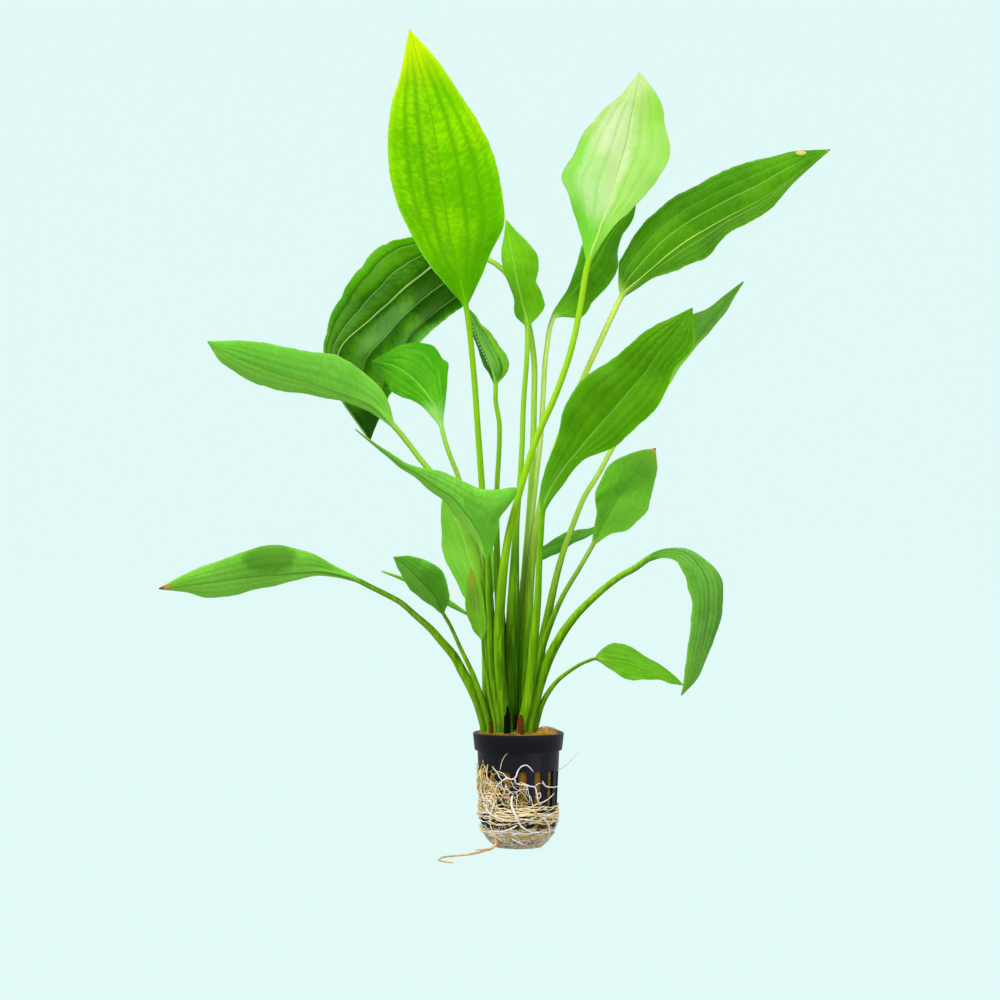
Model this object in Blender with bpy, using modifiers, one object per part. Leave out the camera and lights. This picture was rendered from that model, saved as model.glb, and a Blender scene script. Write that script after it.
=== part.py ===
"""A potted amazon sword plant: long-stalked leaves growing from one crown, in a net pot of stone
wool with roots lying outside its slots.

Every leaf is a solid of its own, stalk and blade in one piece, as it grew. Its route is given as it
looks from the front, as places across and up in millimetres, with its depth beside them.
"""
import math

import bmesh
import bpy
import numpy as np
from mathutils import Matrix, Vector

MM = 0.001

# ---- Driving dimensions, in millimetres -------------------------------------------------------

GAP = 0.4

POT_HEIGHT = 66.0
POT_RIM_RADIUS = 26.0
POT_WALL = 1.2
COLLAR_HEIGHT = 10.0
COLLAR_FOOT_RADIUS = 25.0
BODY_TOP = POT_HEIGHT - COLLAR_HEIGHT
BODY_TOP_RADIUS = 23.4
BODY_LOW_RADIUS = 21.6
BODY_LOW_HEIGHT = 15.0
BASE_RADIUS = 11.0
POT_STEPS = 30

# Below its straight wall the foot rounds in to the flat base. A roundness of 1 would be a cone, and
# 2 an ellipse. The heights are where the profile has its corners, and the step is the one over which
# the wall's slope is measured.
FOOT_ROUNDNESS = 1.3
CORNER_HEIGHTS = (10.0, 5.0, 1.5)
SLOPE_STEP = 0.3

SLOT_COUNT = 15
SLOT_WIDTH = 4.6
SLOT_ROWS = ((24.0, 45.0), (7.0, 17.0))
SLOT_CUTTER_RADIUS = 24.0
SLOT_CUTTER_DEPTH = 16.0

WOOL_TOP = 64.0
WOOL_BEVEL = 2.4
WOOL_STEPS = 20

# The crown's outline at rising heights: its share of the full size, and of the crown's height.
# Its lumps are given as how many lie round it, how large they are, and how far they are turned.
FOOT_HEIGHT = 68.0
CROWN_CENTRE = (-4.5, -0.4)
CROWN_HALF = (16.8, 14.2)
CROWN_RINGS = ((0.86, 0.0), (1.0, 0.35), (0.96, 1.0))
CROWN_SIDES = 24
CROWN_LUMPS = ((5, 0.05, 0.7), (8, 0.03, 0.0))

# The front view's measurements were taken from here, so a point that lies deeper is moved out
# along its line of sight, and one that lies nearer is moved in.
VIEWPOINT = (-10.0, -3200.0, 332.0)

# How many rings a leaf's stalk and blade have, on an ordinary leaf and on a small one, and how
# many corners a ring has.
LEAF_RINGS = (8, 11)
SMALL_LEAF_RINGS = (6, 8)
LEAF_SIDES = 8
TANGENT_STEP = 0.5

# The blade's half thickness, the radius at its tip, how the midrib thins towards it, and the share
# of the blade's length over which the round stalk flattens out.
BLADE_HALF_THICKNESS = 0.45
TIP_RADIUS = 0.35
RIB_TAPER = 0.7
BLADE_START = 0.12

# Each leaf: the route of its stalk and of its blade's midrib, as (across, up); how deep they lie,
# read at even steps from the foot to the blade's base and from there to the tip; the blade's half
# widths at the seven inner eighths of its length, on the left and the right of someone who walks
# from base to tip; how much deeper each side gets for every millimetre out from the midrib; and the
# stalk's radius at its foot and at the blade.
LEAVES = {
    "leaf_tall": {
        "stalk": [
            (-9.4, 68), (-11.8, 95), (-15, 119), (-18, 164), (-21, 210), (-23, 238), (-25.5, 272),
            (-30, 310),
        ],
        "rib": [(-33, 324), (-38, 344), (-42, 369), (-46, 398), (-51, 426), (-62, 466)],
        "stalk_depth": (-3.6, -2.2, -6, -13, -22), "blade_depth": (-31, -42, -50, -52),
        "left": (12, 20, 26.5, 29, 27, 21.5, 10.5), "right": (17, 31, 33, 31.5, 26, 17.5, 10),
        "lean": (-0.2, -0.1), "radius": (2.1, 1.6), "green": "bright",
    },
    "leaf_pale": {
        "stalk": [
            (-5.6, 68), (-10, 95), (-11, 119), (-9, 153), (-5, 181), (1, 204), (10, 233), (21, 258),
            (30, 284), (35, 307), (40, 335),
        ],
        "rib": [(44, 347), (48, 358), (52, 369), (56, 384), (61, 401), (65, 421), (69, 442)],
        "stalk_depth": (-10.2, -16.5, -16, -9, 2), "blade_depth": (11, 21, 30, 38),
        "left": (10, 21, 30, 27, 25, 18, 8), "right": (4.5, 9.5, 17, 23, 26, 20, 14.5),
        "lean": (0.15, -0.2), "radius": (2.1, 1.7), "green": "pale",
    },
    "leaf_far_right": {
        "stalk": [
            (4.8, 68), (5, 105), (6, 141), (10, 181), (17, 215), (27, 244), (37, 268), (47, 290),
            (55, 307), (59, 315),
        ],
        "rib": [(67, 322), (75, 329), (92, 343), (115, 357), (144, 373), (161, 386), (177, 398)],
        "stalk_depth": (-1.6, 2.5, 4, 7, 13), "blade_depth": (22, 32, 42, 52),
        "left": (18, 23, 25.5, 25, 24, 20.5, 12), "right": (4.5, 10, 12.5, 8.5, 8, 4, 2),
        "lean": (0.35, -1.5), "radius": (2.0, 1.6), "green": "fresh",
    },
    "leaf_dark_upper": {
        "stalk": [
            (0.2, 68), (2.5, 120), (5, 164), (10, 210), (13, 238), (14, 255), (16, 284), (20, 303),
        ],
        "rib": [(32, 318), (44, 334), (52, 349), (63, 363), (67, 369)],
        "stalk_depth": (0.8, 5.5, 9.5, 14, 24), "blade_depth": (38, 54, 70, 84),
        "left": (2.5, 4.5, 8, 11, 11, 8, 4), "right": (13, 12.5, 13, 13, 8.5, 5.5, 4.5),
        "lean": (0.3, 0.2), "radius": (1.9, 1.4), "green": "dark",
    },
    "leaf_centre": {
        "stalk": [
            (-4.2, 68), (-3, 130), (-2, 164), (-1, 187), (1, 210), (2, 227), (3, 255), (5, 284),
            (5, 298),
        ],
        "rib": [(2, 312), (-2, 329), (-5, 347), (-7, 358)],
        "stalk_depth": (-1.2, -0.5, 1.5, 3, 6), "blade_depth": (13, 24, 37, 50),
        "left": (6, 4.5, 4.5, 6, 7, 5, 2.5), "right": (11.5, 12, 10.5, 13.5, 14, 10.5, 5.5),
        "lean": (0.9, 0.25), "radius": (1.9, 1.4), "green": "fresh",
    },
    "leaf_broad_back": {
        "stalk": [
            (1.2, 68), (2.8, 120), (5, 165), (7.5, 210), (9, 255), (9, 278), (6, 298), (1, 315),
            (-5, 325), (-10, 331), (-16, 335), (-30, 340),
        ],
        "rib": [
            (-42, 336), (-56, 326.5), (-69, 315.5), (-80.5, 304), (-89.5, 291.5), (-95, 279),
            (-96.5, 266), (-94.5, 254), (-90, 243), (-84.6, 232.4),
        ],
        "stalk_depth": (5.6, 11, 17, 29, 52), "blade_depth": (62, 72, 80, 85),
        "left": (28, 28.5, 28.5, 31.5, 32, 29.5, 19.5), "right": (19, 27, 25.5, 22.5, 18, 9.5, 2.2),
        "lean": (0.1, -0.25), "radius": (2.1, 1.5), "green": "dark",
    },
    "leaf_left": {
        "stalk": [
            (-14.8, 68), (-16, 100), (-18, 136), (-23, 164), (-32, 187), (-42, 204), (-50, 215),
            (-56, 222), (-62, 230), (-72, 242),
        ],
        "rib": [
            (-84, 253), (-99, 259), (-113, 264), (-136, 271), (-153, 277), (-167, 283), (-177, 289),
        ],
        "stalk_depth": (-4.4, -9, -11, -16, -26), "blade_depth": (-38, -50, -62, -72),
        "left": (4, 4, 6.5, 8, 9.5, 10, 7), "right": (10, 16, 19, 17, 15, 13, 9),
        "lean": (1.3, -0.4), "radius": (1.7, 1.6), "green": "matt",
    },
    "leaf_left_back": {
        "stalk": [
            (-13.2, 68), (-15, 105), (-19, 141), (-25, 176), (-30, 198), (-35, 214), (-39, 224),
            (-42, 233), (-44, 241),
        ],
        "rib": [(-46, 249), (-51, 258), (-60, 268), (-70, 275), (-83, 278)],
        "stalk_depth": (5.6, 5.2, 8, 12, 19), "blade_depth": (28, 38, 48, 57),
        "left": (4.5, 6.5, 9, 12, 14, 12.5, 8), "right": (3.5, 9, 16.5, 21, 21, 17, 9),
        "lean": (0.6, 0.2), "radius": (1.8, 1.3), "green": "fresh",
    },
    "leaf_bumpy": {
        "stalk": [
            (-8.6, 68), (-9.6, 119), (-12, 164), (-12, 210), (-11, 227), (-11, 244), (-13, 255),
            (-13, 265),
        ],
        "rib": [(-16, 277), (-21, 288), (-25, 298), (-29, 308)],
        "stalk_depth": (1.2, 2, 3, 5, 8), "blade_depth": (14, 24, 35),
        "left": (2.5, 4, 3.5, 3, 3, 2.5, 2), "right": (8.5, 10, 9, 8.5, 7, 4, 3),
        "lean": (1.6, 0.3), "radius": (1.8, 1.3), "green": "dark", "small": True,
    },
    "leaf_twisted": {
        "stalk": [(-10.2, 68), (-15, 107), (-17, 141), (-18, 166)],
        "rib": [
            (-20, 175), (-24, 184), (-30, 192), (-37, 200), (-48, 207), (-58, 214), (-67, 219),
            (-75, 225), (-93, 239),
        ],
        "stalk_depth": (-9.4, -12, -16, -21), "blade_depth": (-30, -45, -64, -84),
        "left": (5, 6, 5.5, 4, 2.2, 1.4, 0.9), "right": (11, 25.5, 13.5, 9, 3, 2, 0.9),
        "lean": (1.5, 0.1), "radius": (1.9, 1.4), "green": "matt",
    },
    "leaf_light_back": {
        "stalk": [(-17.2, 68), (-18.2, 90), (-19, 107), (-20, 135)],
        "rib": [(-24, 152), (-29, 169), (-34, 183), (-39, 194), (-42, 204)],
        "stalk_depth": (2.6, 8.5, 13), "blade_depth": (26, 40, 54, 67),
        "left": (8.5, 10.5, 12.5, 13.5, 12, 9, 5), "right": (8, 12, 14, 14, 12, 9, 5),
        "lean": (0.2, 0.2), "radius": (1.8, 1.4), "green": "fresh",
    },
    "leaf_spotted": {
        "stalk": [(-13, 68), (-18, 96), (-20, 110), (-20.5, 119)],
        "rib": [(-22, 128), (-23.5, 138), (-25, 148), (-27, 160)],
        "stalk_depth": (-11, -12, -13.5), "blade_depth": (-15, -17, -19),
        "left": (4, 5.5, 6.5, 6.5, 6, 4.5, 3), "right": (3, 4, 4, 4, 4, 3.5, 2.5),
        "lean": (0.5, -0.6), "radius": (0.9, 0.8), "green": "fresh", "small": True,
    },
    "leaf_low_left": {
        "stalk": [
            (-18.5, 68), (-23, 83), (-27, 92), (-32, 101), (-37, 110), (-43, 117), (-50, 125),
            (-59, 133), (-67, 140), (-76, 145), (-84, 149), (-92, 153),
        ],
        "rib": [(-101, 156), (-113, 158), (-130, 157), (-153, 155), (-181, 151), (-205, 148)],
        "stalk_depth": (-2.5, -6, -13, -25), "blade_depth": (-38, -54, -68, -80),
        "left": (2.5, 3.2, 5.5, 8, 9.5, 8.5, 4), "right": (4.2, 11.5, 16, 16, 13, 10, 6),
        "lean": (1.2, -0.4), "radius": (2.0, 1.5), "green": "matt",
    },
    "leaf_small_left": {
        "stalk": [(-15.8, 68), (-19, 79), (-26, 99), (-33, 114), (-40, 129), (-43, 134)],
        "rib": [(-47, 143), (-56, 153), (-63, 160), (-71, 166)],
        "stalk_depth": (-8.2, -13.5, -24), "blade_depth": (-36, -48, -58),
        "left": (4, 6.5, 7.5, 8, 7.5, 6, 4), "right": (6, 9, 12, 12.5, 11, 8, 5),
        "lean": (0.5, -0.2), "radius": (1.4, 1.0), "green": "dark", "small": True,
    },
    "leaf_furled": {
        "stalk": [(-13.4, 68), (-16.5, 100), (-19, 127), (-30, 134)],
        "rib": [(-40, 140), (-50, 146), (-62, 152), (-78, 158)],
        "stalk_depth": (1.4, 1, 0), "blade_depth": (2, 8, 14),
        "left": (1.5, 2, 2, 2, 1.6, 1.2, 0.8), "right": (1.5, 2, 2, 2, 1.6, 1.2, 0.8),
        "lean": (1.0, -0.6), "radius": (1.2, 0.9), "green": "fresh", "small": True,
    },
    "leaf_large_right": {
        "stalk": [(2, 68), (6.5, 90), (9, 119), (11, 141), (12, 164), (13, 181), (14, 193)],
        "rib": [
            (18, 204), (24, 214), (32, 224), (41, 235), (52, 247), (61, 258), (72, 271), (81, 284),
            (89, 294), (99, 308),
        ],
        "stalk_depth": (-9.6, -12, -15, -20), "blade_depth": (-30, -43, -55, -64),
        "left": (8, 13.5, 22, 25, 20, 16, 10), "right": (5, 5.5, 14, 16, 18, 13, 13),
        "lean": (0.3, -0.5), "radius": (2.1, 1.7), "green": "fresh",
    },
    "leaf_behind_right": {
        "stalk": [
            (5.4, 68), (10, 90), (12, 104), (14, 119), (17, 133), (22, 156), (25, 167), (31, 184),
            (38, 201), (46, 214), (54, 229), (67, 247),
        ],
        "rib": [(81, 264), (98, 285), (112, 303), (128, 323)],
        "stalk_depth": (3.6, 6.5, 12, 22), "blade_depth": (36, 50, 64, 76),
        "left": (7, 12, 15, 15, 13, 6.2, 3.5), "right": (6.5, 4, 2, 2, 3, 3, 2),
        "lean": (0.3, -2.0), "radius": (1.8, 1.4), "green": "matt",
    },
    "leaf_small_right": {
        "stalk": [
            (9.2, 68), (10.5, 96), (13.5, 113), (17, 124), (25, 143), (35, 160), (43, 174),
        ],
        "rib": [(48, 184), (55, 197), (64, 210), (71, 220), (78, 228)],
        "stalk_depth": (1.4, -0.5, 1, 6), "blade_depth": (14, 26, 38, 50),
        "left": (4, 6.5, 12, 14, 15, 12.5, 7), "right": (6, 14, 16.5, 18, 15, 12, 8.5),
        "lean": (0.2, -0.2), "radius": (1.6, 1.3), "green": "fresh",
    },
    "leaf_edge_on": {
        "stalk": [(5, 68), (5.5, 115), (7, 163)],
        "rib": [(15, 169), (25, 174), (35, 178), (54, 186)],
        "stalk_depth": (8.2, 16, 26), "blade_depth": (52, 80, 106),
        "left": (3, 3.5, 4.5, 4.5, 3.5, 2, 1.5), "right": (3, 4, 4.5, 2.5, 2.3, 2, 1.5),
        "lean": (2.8, -2.8), "radius": (1.4, 1.1), "green": "dark", "small": True,
    },
    "leaf_drooping": {
        "stalk": [
            (6, 68), (13, 96), (17, 107), (22, 117), (27, 125), (34, 134), (41, 141), (50, 149),
            (58, 155), (67, 160), (74, 165),
        ],
        "rib": [
            (84, 169), (94, 168), (102, 161), (107, 152), (108, 140), (106, 124), (103, 110),
            (99, 97), (93, 87),
        ],
        "stalk_depth": (-7, -8, -13, -22), "blade_depth": (-30, -40, -48, -54),
        "left": (2.2, 4.8, 8, 8.7, 7.7, 4.7, 3.2), "right": (4.2, 8.7, 11, 8.6, 8.7, 7.3, 5),
        "lean": (1.2, -1.0), "radius": (2.1, 1.8), "green": "matt",
    },
    "leaf_low_right": {
        "stalk": [(9.6, 68), (14, 83), (18, 90), (23, 96), (28, 100), (38, 106), (44, 108)],
        "rib": [(54, 107), (64, 105), (75, 101), (86, 96), (94, 93)],
        "stalk_depth": (-3.2, -7, -14), "blade_depth": (-22, -30, -36),
        "left": (9, 10, 9, 7, 6, 5, 3.4), "right": (4.2, 7, 9, 8.2, 5.2, 2.2, 1.8),
        "lean": (0.4, -0.6), "radius": (1.5, 0.9), "green": "fresh", "small": True,
    },
}

# Two dry brown sheaths of leaves that are gone: place, width and height, and turn in degrees. Their
# rings are shares of the height and of the width, and their section is a share of the half width
# with a thickness. They curl round the bunch and lean towards it.
SHEATHS = {
    "sheath_front": {"place": (-1.4, -5.6), "width": 2.6, "height": 9, "turn": 12},
    "sheath_left": {"place": (-15.6, -11.6), "width": 2.2, "height": 7, "turn": -38},
}
SHEATH_RINGS = ((0.0, 1.0), (0.35, 1.05), (0.7, 0.7), (1.0, 0.2))
SHEATH_SECTION = ((-1, 0), (-0.5, 0.35), (0.5, 0.35), (1, 0), (0.5, -0.35), (-0.5, -0.35))
SHEATH_CURL = 0.25
SHEATH_LEAN = -0.6

ROOT_GAP = 0.35
ROOT_SPACING = 3.2
ROOT_TAPER = 0.35

# The thick roots that show outside the pot, as places across and up in the front view. They lie on
# the wall, and rise to pass over the belts of finer roots.
WALL_ROOTS = {
    "root_front": {
        "route": [(-3.5, 32), (-4, 27), (-1.5, 20.5), (1.5, 14.5), (8.5, 10)], "radius": 0.9,
    },
    "root_arch": {
        "route": [
            (-10, 39.5), (-6.5, 41.5), (-3.5, 41), (-1.5, 42.5), (-0.5, 45.5), (2, 48.5), (4.5, 49),
            (7, 47), (8.5, 45),
        ],
        "radius": 0.7,
    },
    "root_fork": {
        "route": [
            (-1.5, 38.5), (1.5, 38), (6, 37), (9, 36.5), (10.5, 32), (11.5, 27.5), (16, 28.5),
            (20.5, 32),
        ],
        "radius": 0.7,
    },
    "root_right": {
        "route": [(14, 19), (17, 14.5), (17.5, 9), (15, 4.5), (10, 2.5)], "radius": 0.8,
    },
    "root_lower_left": {
        "route": [(-12, 30), (-15, 24), (-16, 15), (-13.5, 8.5), (-9, 5)], "radius": 0.7,
    },
}

# The two belts of tangled roots round the pot: height, how far the belt swings up and down and how
# often, and its half height and half depth. Both swell in places.
ROOT_BELTS = {
    "root_belt_upper": {"height": 20.5, "swing": 1.2, "waves": 3, "half_height": 2.6, "half_depth": 1.0},
    "root_belt_lower": {"height": 9.5, "swing": 1.0, "waves": 2, "half_height": 2.0, "half_depth": 0.9},
}
BELT_STEPS = 26
BELT_SIDES = 6
BELT_TURN = 1.0
BELT_SWELL = 0.18
BELT_SWELL_COUNT = 5
BELT_SWELL_TURN = 2.0
BELT_RAMP = 3.0

# A pad of matted roots outside the slots on the left: where it lies round the pot and how far it
# reaches to each side, in degrees, its middle height, half height and thickness.
MAT_TURN = 208
MAT_HALF_ANGLE = 26
MAT_HEIGHT = 39.0
MAT_HALF_HEIGHT = 11.0
MAT_THICKNESS = 1.6
MAT_STEPS = 8
MAT_SIDES = 8
MAT_WAVE = 0.1
MAT_WAVES = 4
MAT_END = 0.1

# The root that hangs below the pot in the front view leaves the lower belt's underside here and lies
# along the surface.
TRAILING_ROUTE = [
    (-13.4, -14.9, 7.2), (-12.6, -14.4, 4.8), (-13.4, -16.4, 2.5), (-15.6, -20.0, 1.4),
    (-19, -26, 1.3), (-21, -33, 1.3), (-24, -40, 1.3), (-29, -48, 1.3), (-36, -54, 1.3),
    (-41, -59, 1.3), (-44, -67, 1.3), (-44.5, -76, 1.3), (-41, -84, 1.3), (-36, -90, 1.3),
]
TRAILING_RADIUS = 0.9
TRAILING_SPACING = 4.2

# A short root that sticks out of the slots at the right.
STRAY_ROUTE = [(21.8, -9.4, 44.7), (25, -11, 46.5), (28, -12.5, 49), (32, -13.5, 53), (36, -14, 57)]
STRAY_RADIUS = 0.5

# Each surface's colour and roughness.
SURFACES = {
    "black plastic": ((0.012, 0.012, 0.018), 0.35),
    "stone wool": ((0.42, 0.26, 0.07), 0.95),
    "crown": ((0.35, 0.30, 0.08), 0.7),
    "dry sheath": ((0.20, 0.08, 0.03), 0.8),
    "root": ((0.72, 0.62, 0.42), 0.6),
    "leaf bright": ((0.33, 0.68, 0.01), 0.45),
    "leaf pale": ((0.50, 0.80, 0.30), 0.45),
    "leaf fresh": ((0.15, 0.42, 0.02), 0.45),
    "leaf dark": ((0.05, 0.22, 0.01), 0.4),
    "leaf matt": ((0.14, 0.40, 0.05), 0.55),
}
SMOOTH_ANGLE = math.radians(40)


# ---- Scene and materials ----------------------------------------------------------------------

def clear_scene():
    for obj in list(bpy.data.objects):
        bpy.data.objects.remove(obj, do_unlink=True)


def collection(name, hidden=False):
    made = bpy.data.collections.new(name)
    bpy.context.scene.collection.children.link(made)
    made.hide_render = hidden
    return made


def material(name):
    colour, roughness = SURFACES[name]
    made = bpy.data.materials.new(name)
    made.use_nodes = True
    shader = made.node_tree.nodes["Principled BSDF"]
    shader.inputs["Base Color"].default_value = (*colour, 1.0)
    shader.inputs["Roughness"].default_value = roughness
    shader.inputs["Metallic"].default_value = 0.0
    return made


def add_mesh(name, mesh, look, group):
    obj = bpy.data.objects.new(name, mesh)
    mesh.materials.append(look)
    group.objects.link(obj)
    mesh.shade_smooth()
    mesh.set_sharp_from_angle(angle=SMOOTH_ANGLE)
    return obj


# ---- Curves through points --------------------------------------------------------------------

def chord_knots(points):
    """The distance along the points, from the first."""
    steps = np.linalg.norm(np.diff(points, axis=0), axis=1)
    return np.concatenate([[0.0], np.cumsum(steps)])


def read_curve(knots, values, places):
    """A smooth curve that passes each value at its knot, read at the places."""
    values = np.asarray(values, float)
    knots = np.asarray(knots, float)
    slopes = np.gradient(values, knots, axis=0)
    i = np.clip(np.searchsorted(knots, places, side="right") - 1, 0, len(knots) - 2)
    step = knots[i + 1] - knots[i]
    t = (places - knots[i]) / step
    if values.ndim > 1:
        step, t = step[:, None], t[:, None]
    return (
        (2 * t**3 - 3 * t**2 + 1) * values[i]
        + (t**3 - 2 * t**2 + t) * step * slopes[i]
        + (3 * t**2 - 2 * t**3) * values[i + 1]
        + (t**3 - t**2) * step * slopes[i + 1]
    )


def unit(vectors):
    return vectors / np.linalg.norm(vectors, axis=-1, keepdims=True)


def placed(across, depth, up):
    """Front-view places at their depths, moved along the lines of sight to where they really are."""
    seen = np.stack([across, np.zeros_like(across), up], axis=-1)
    eye = np.array(VIEWPOINT)
    return seen + (seen - eye) * (depth / -eye[1])[..., None]


def finished(made, name):
    """The bmesh as a mesh whose faces point outwards."""
    bmesh.ops.recalc_face_normals(made, faces=made.faces)
    mesh = bpy.data.meshes.new(name)
    made.to_mesh(mesh)
    made.free()
    return mesh


def bridge(made, first, second):
    """Faces between two rings of equally many corners."""
    sides = len(first)
    for i in range(sides):
        j = (i + 1) % sides
        made.faces.new((first[i], first[j], second[j], second[i]))


def loft(name, rings):
    """A closed mesh through rings of equally many points, capped at both ends."""
    made = bmesh.new()
    corners = [[made.verts.new(Vector(point) * MM) for point in ring] for ring in rings]
    for first, second in zip(corners, corners[1:]):
        bridge(made, first, second)
    made.faces.new(corners[0])
    made.faces.new(corners[-1])
    return finished(made, name)


# ---- Leaves -----------------------------------------------------------------------------------

def leaf_lines(leaf, stalk_rings, blade_rings):
    """The leaf's midline and its two edges in place, its half thicknesses, and how flat it is."""
    route = np.array(leaf["stalk"] + leaf["rib"], float)
    knots = chord_knots(route)
    base, tip = knots[len(leaf["stalk"]) - 1], knots[-1]
    places = np.concatenate([
        np.linspace(0, base, stalk_rings, endpoint=False),
        np.linspace(base, tip, blade_rings),
    ])
    middle = read_curve(knots, route, places)
    further = read_curve(knots, route, np.minimum(places + TANGENT_STEP, tip))
    nearer = read_curve(knots, route, np.maximum(places - TANGENT_STEP, 0))
    ahead = unit(further - nearer)
    leftward = np.stack([-ahead[:, 1], ahead[:, 0]], axis=-1)

    stalk_depth, blade_depth = leaf["stalk_depth"], leaf["blade_depth"]
    depth_knots = np.concatenate([
        np.linspace(0, base, len(stalk_depth)),
        base + (tip - base) * np.arange(1, len(blade_depth) + 1) / len(blade_depth),
    ])
    depth = read_curve(depth_knots, stalk_depth + blade_depth, places)

    along = np.clip((places - base) / (tip - base), 0, 1)
    foot_radius, top_radius = leaf["radius"]
    stalk = foot_radius + (top_radius - foot_radius) * np.clip(places / base, 0, 1)
    lines = [placed(middle[:, 0], depth, middle[:, 1])]
    for side, sign, lean in (("left", 1, leaf["lean"][0]), ("right", -1, leaf["lean"][1])):
        widths = (top_radius, *leaf[side], TIP_RADIUS)
        width = read_curve(np.linspace(0, 1, len(widths)), widths, along)
        width = np.where(along > 0, width, stalk)
        edge = middle + sign * leftward * width[:, None]
        lines.append(placed(edge[:, 0], depth + np.where(along > 0, lean, 0) * width, edge[:, 1]))
    rib = np.where(along > 0, top_radius + (TIP_RADIUS - top_radius) * along**RIB_TAPER, stalk)
    flatness = np.clip(along / BLADE_START, 0, 1)
    return lines, stalk, rib, flatness


def leaf_rings(leaf):
    """The leaf's sections: round on the stalk, thin with a thicker midrib on the blade."""
    counts = SMALL_LEAF_RINGS if leaf.get("small") else LEAF_RINGS
    (middle, left, right), stalk, rib, flatness = leaf_lines(leaf, *counts)
    ahead = unit(np.gradient(middle, axis=0))
    to_left = left - middle
    to_right = right - middle
    face_left = unit(np.cross(ahead, to_left))
    face_right = unit(np.cross(to_right, ahead))
    face = unit(face_left + face_right)
    side = unit(np.cross(face, ahead))

    thin = BLADE_HALF_THICKNESS
    rings = []
    for i in range(len(middle)):
        blade = [
            to_left[i],
            0.5 * to_left[i] + thin * face_left[i],
            rib[i] * face[i],
            0.5 * to_right[i] + thin * face_right[i],
            to_right[i],
            0.5 * to_right[i] - thin * face_right[i],
            -rib[i] * face[i],
            0.5 * to_left[i] - thin * face_left[i],
        ]
        ring = []
        for k, point in enumerate(blade):
            turn = 2 * math.pi * k / LEAF_SIDES
            round_point = stalk[i] * (math.cos(turn) * side[i] + math.sin(turn) * face[i])
            ring.append(middle[i] + round_point + flatness[i] * (point - round_point))
        rings.append(ring)
    for point in rings[0]:
        point[2] = FOOT_HEIGHT
    return rings


def make_leaves(group):
    greens = {leaf["green"] for leaf in LEAVES.values()}
    looks = {green: material("leaf " + green) for green in sorted(greens)}
    for name, leaf in LEAVES.items():
        add_mesh(name, loft(name, leaf_rings(leaf)), looks[leaf["green"]], group)


# ---- Pot, wool and crown ----------------------------------------------------------------------

def wall_radius(height):
    """The pot's outer radius at a height, below the collar."""
    if height < BODY_LOW_HEIGHT:
        drop = 1 - max(height, 0.0) / BODY_LOW_HEIGHT
        bulge = (1 - drop**FOOT_ROUNDNESS) ** (1 / FOOT_ROUNDNESS)
        return BASE_RADIUS + (BODY_LOW_RADIUS - BASE_RADIUS) * bulge
    share = min(1.0, (height - BODY_LOW_HEIGHT) / (BODY_TOP - BODY_LOW_HEIGHT))
    return BODY_LOW_RADIUS + (BODY_TOP_RADIUS - BODY_LOW_RADIUS) * share


def wall_slope(height):
    """How fast the wall's radius grows with height."""
    return (wall_radius(height + SLOPE_STEP) - wall_radius(height - SLOPE_STEP)) / (2 * SLOPE_STEP)


def inside_wall(height, gap):
    """The place this far inside the wall, square to it, as (radius, height)."""
    slope = wall_slope(height)
    step = gap / math.hypot(1, slope)
    return wall_radius(height) - step, height + step * slope


def screw(name, profile, steps, look, group):
    """A turned solid: the profile, as (radius, height) in millimetres, runs down its outer side."""
    mesh = bpy.data.meshes.new(name)
    points = [(radius * MM, 0.0, height * MM) for radius, height in profile]
    edges = [(i, i + 1) for i in range(len(points) - 1)]
    if profile[0][0] > 0:
        edges.append((len(points) - 1, 0))
    mesh.from_pydata(points, edges, [])
    obj = add_mesh(name, mesh, look, group)
    turn = obj.modifiers.new("turn", "SCREW")
    turn.steps = turn.render_steps = steps
    turn.use_merge_vertices = True
    turn.merge_threshold = 0.00001
    return obj


def slot_cutters(group):
    """Bars that cut the slots, one row above the other, round the pot."""
    made = bmesh.new()
    for low, high in SLOT_ROWS:
        size = Matrix.Diagonal((SLOT_CUTTER_DEPTH * MM, SLOT_WIDTH * MM, (high - low) * MM, 1))
        place = Matrix.Translation((SLOT_CUTTER_RADIUS * MM, 0, (low + high) / 2 * MM))
        for i in range(SLOT_COUNT):
            turn = Matrix.Rotation(2 * math.pi * (i + 0.5) / SLOT_COUNT, 4, "Z")
            bmesh.ops.create_cube(made, size=1, matrix=turn @ place @ size)
    cutters = bpy.data.objects.new("slot_cutters", finished(made, "slot_cutters"))
    cutters.hide_render = True
    cutters.display_type = "WIRE"
    group.objects.link(cutters)
    return cutters


def make_pot(group, cutter_group):
    """The net pot: a thin shell with a plain collar, a rounded foot and slots all round."""
    outer = [(POT_RIM_RADIUS, POT_HEIGHT), (COLLAR_FOOT_RADIUS, BODY_TOP), (BODY_TOP_RADIUS, BODY_TOP)]
    outer += [(wall_radius(h), h) for h in (BODY_LOW_HEIGHT, *CORNER_HEIGHTS, 0.0)]
    floor = [(0.0, 0.0), (0.0, POT_WALL), (BASE_RADIUS, POT_WALL)]
    inner = [inside_wall(h, POT_WALL) for h in reversed(CORNER_HEIGHTS)]
    inner += [(wall_radius(h) - POT_WALL, h) for h in (BODY_LOW_HEIGHT, BODY_TOP)]
    inner += [(COLLAR_FOOT_RADIUS - POT_WALL, BODY_TOP + POT_WALL), (POT_RIM_RADIUS - POT_WALL, POT_HEIGHT)]
    pot = screw("net_pot", outer + floor + inner, POT_STEPS, material("black plastic"), group)
    cut = pot.modifiers.new("slots", "BOOLEAN")
    cut.operation = "DIFFERENCE"
    cut.solver = "EXACT"
    cut.object = slot_cutters(cutter_group)


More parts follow.
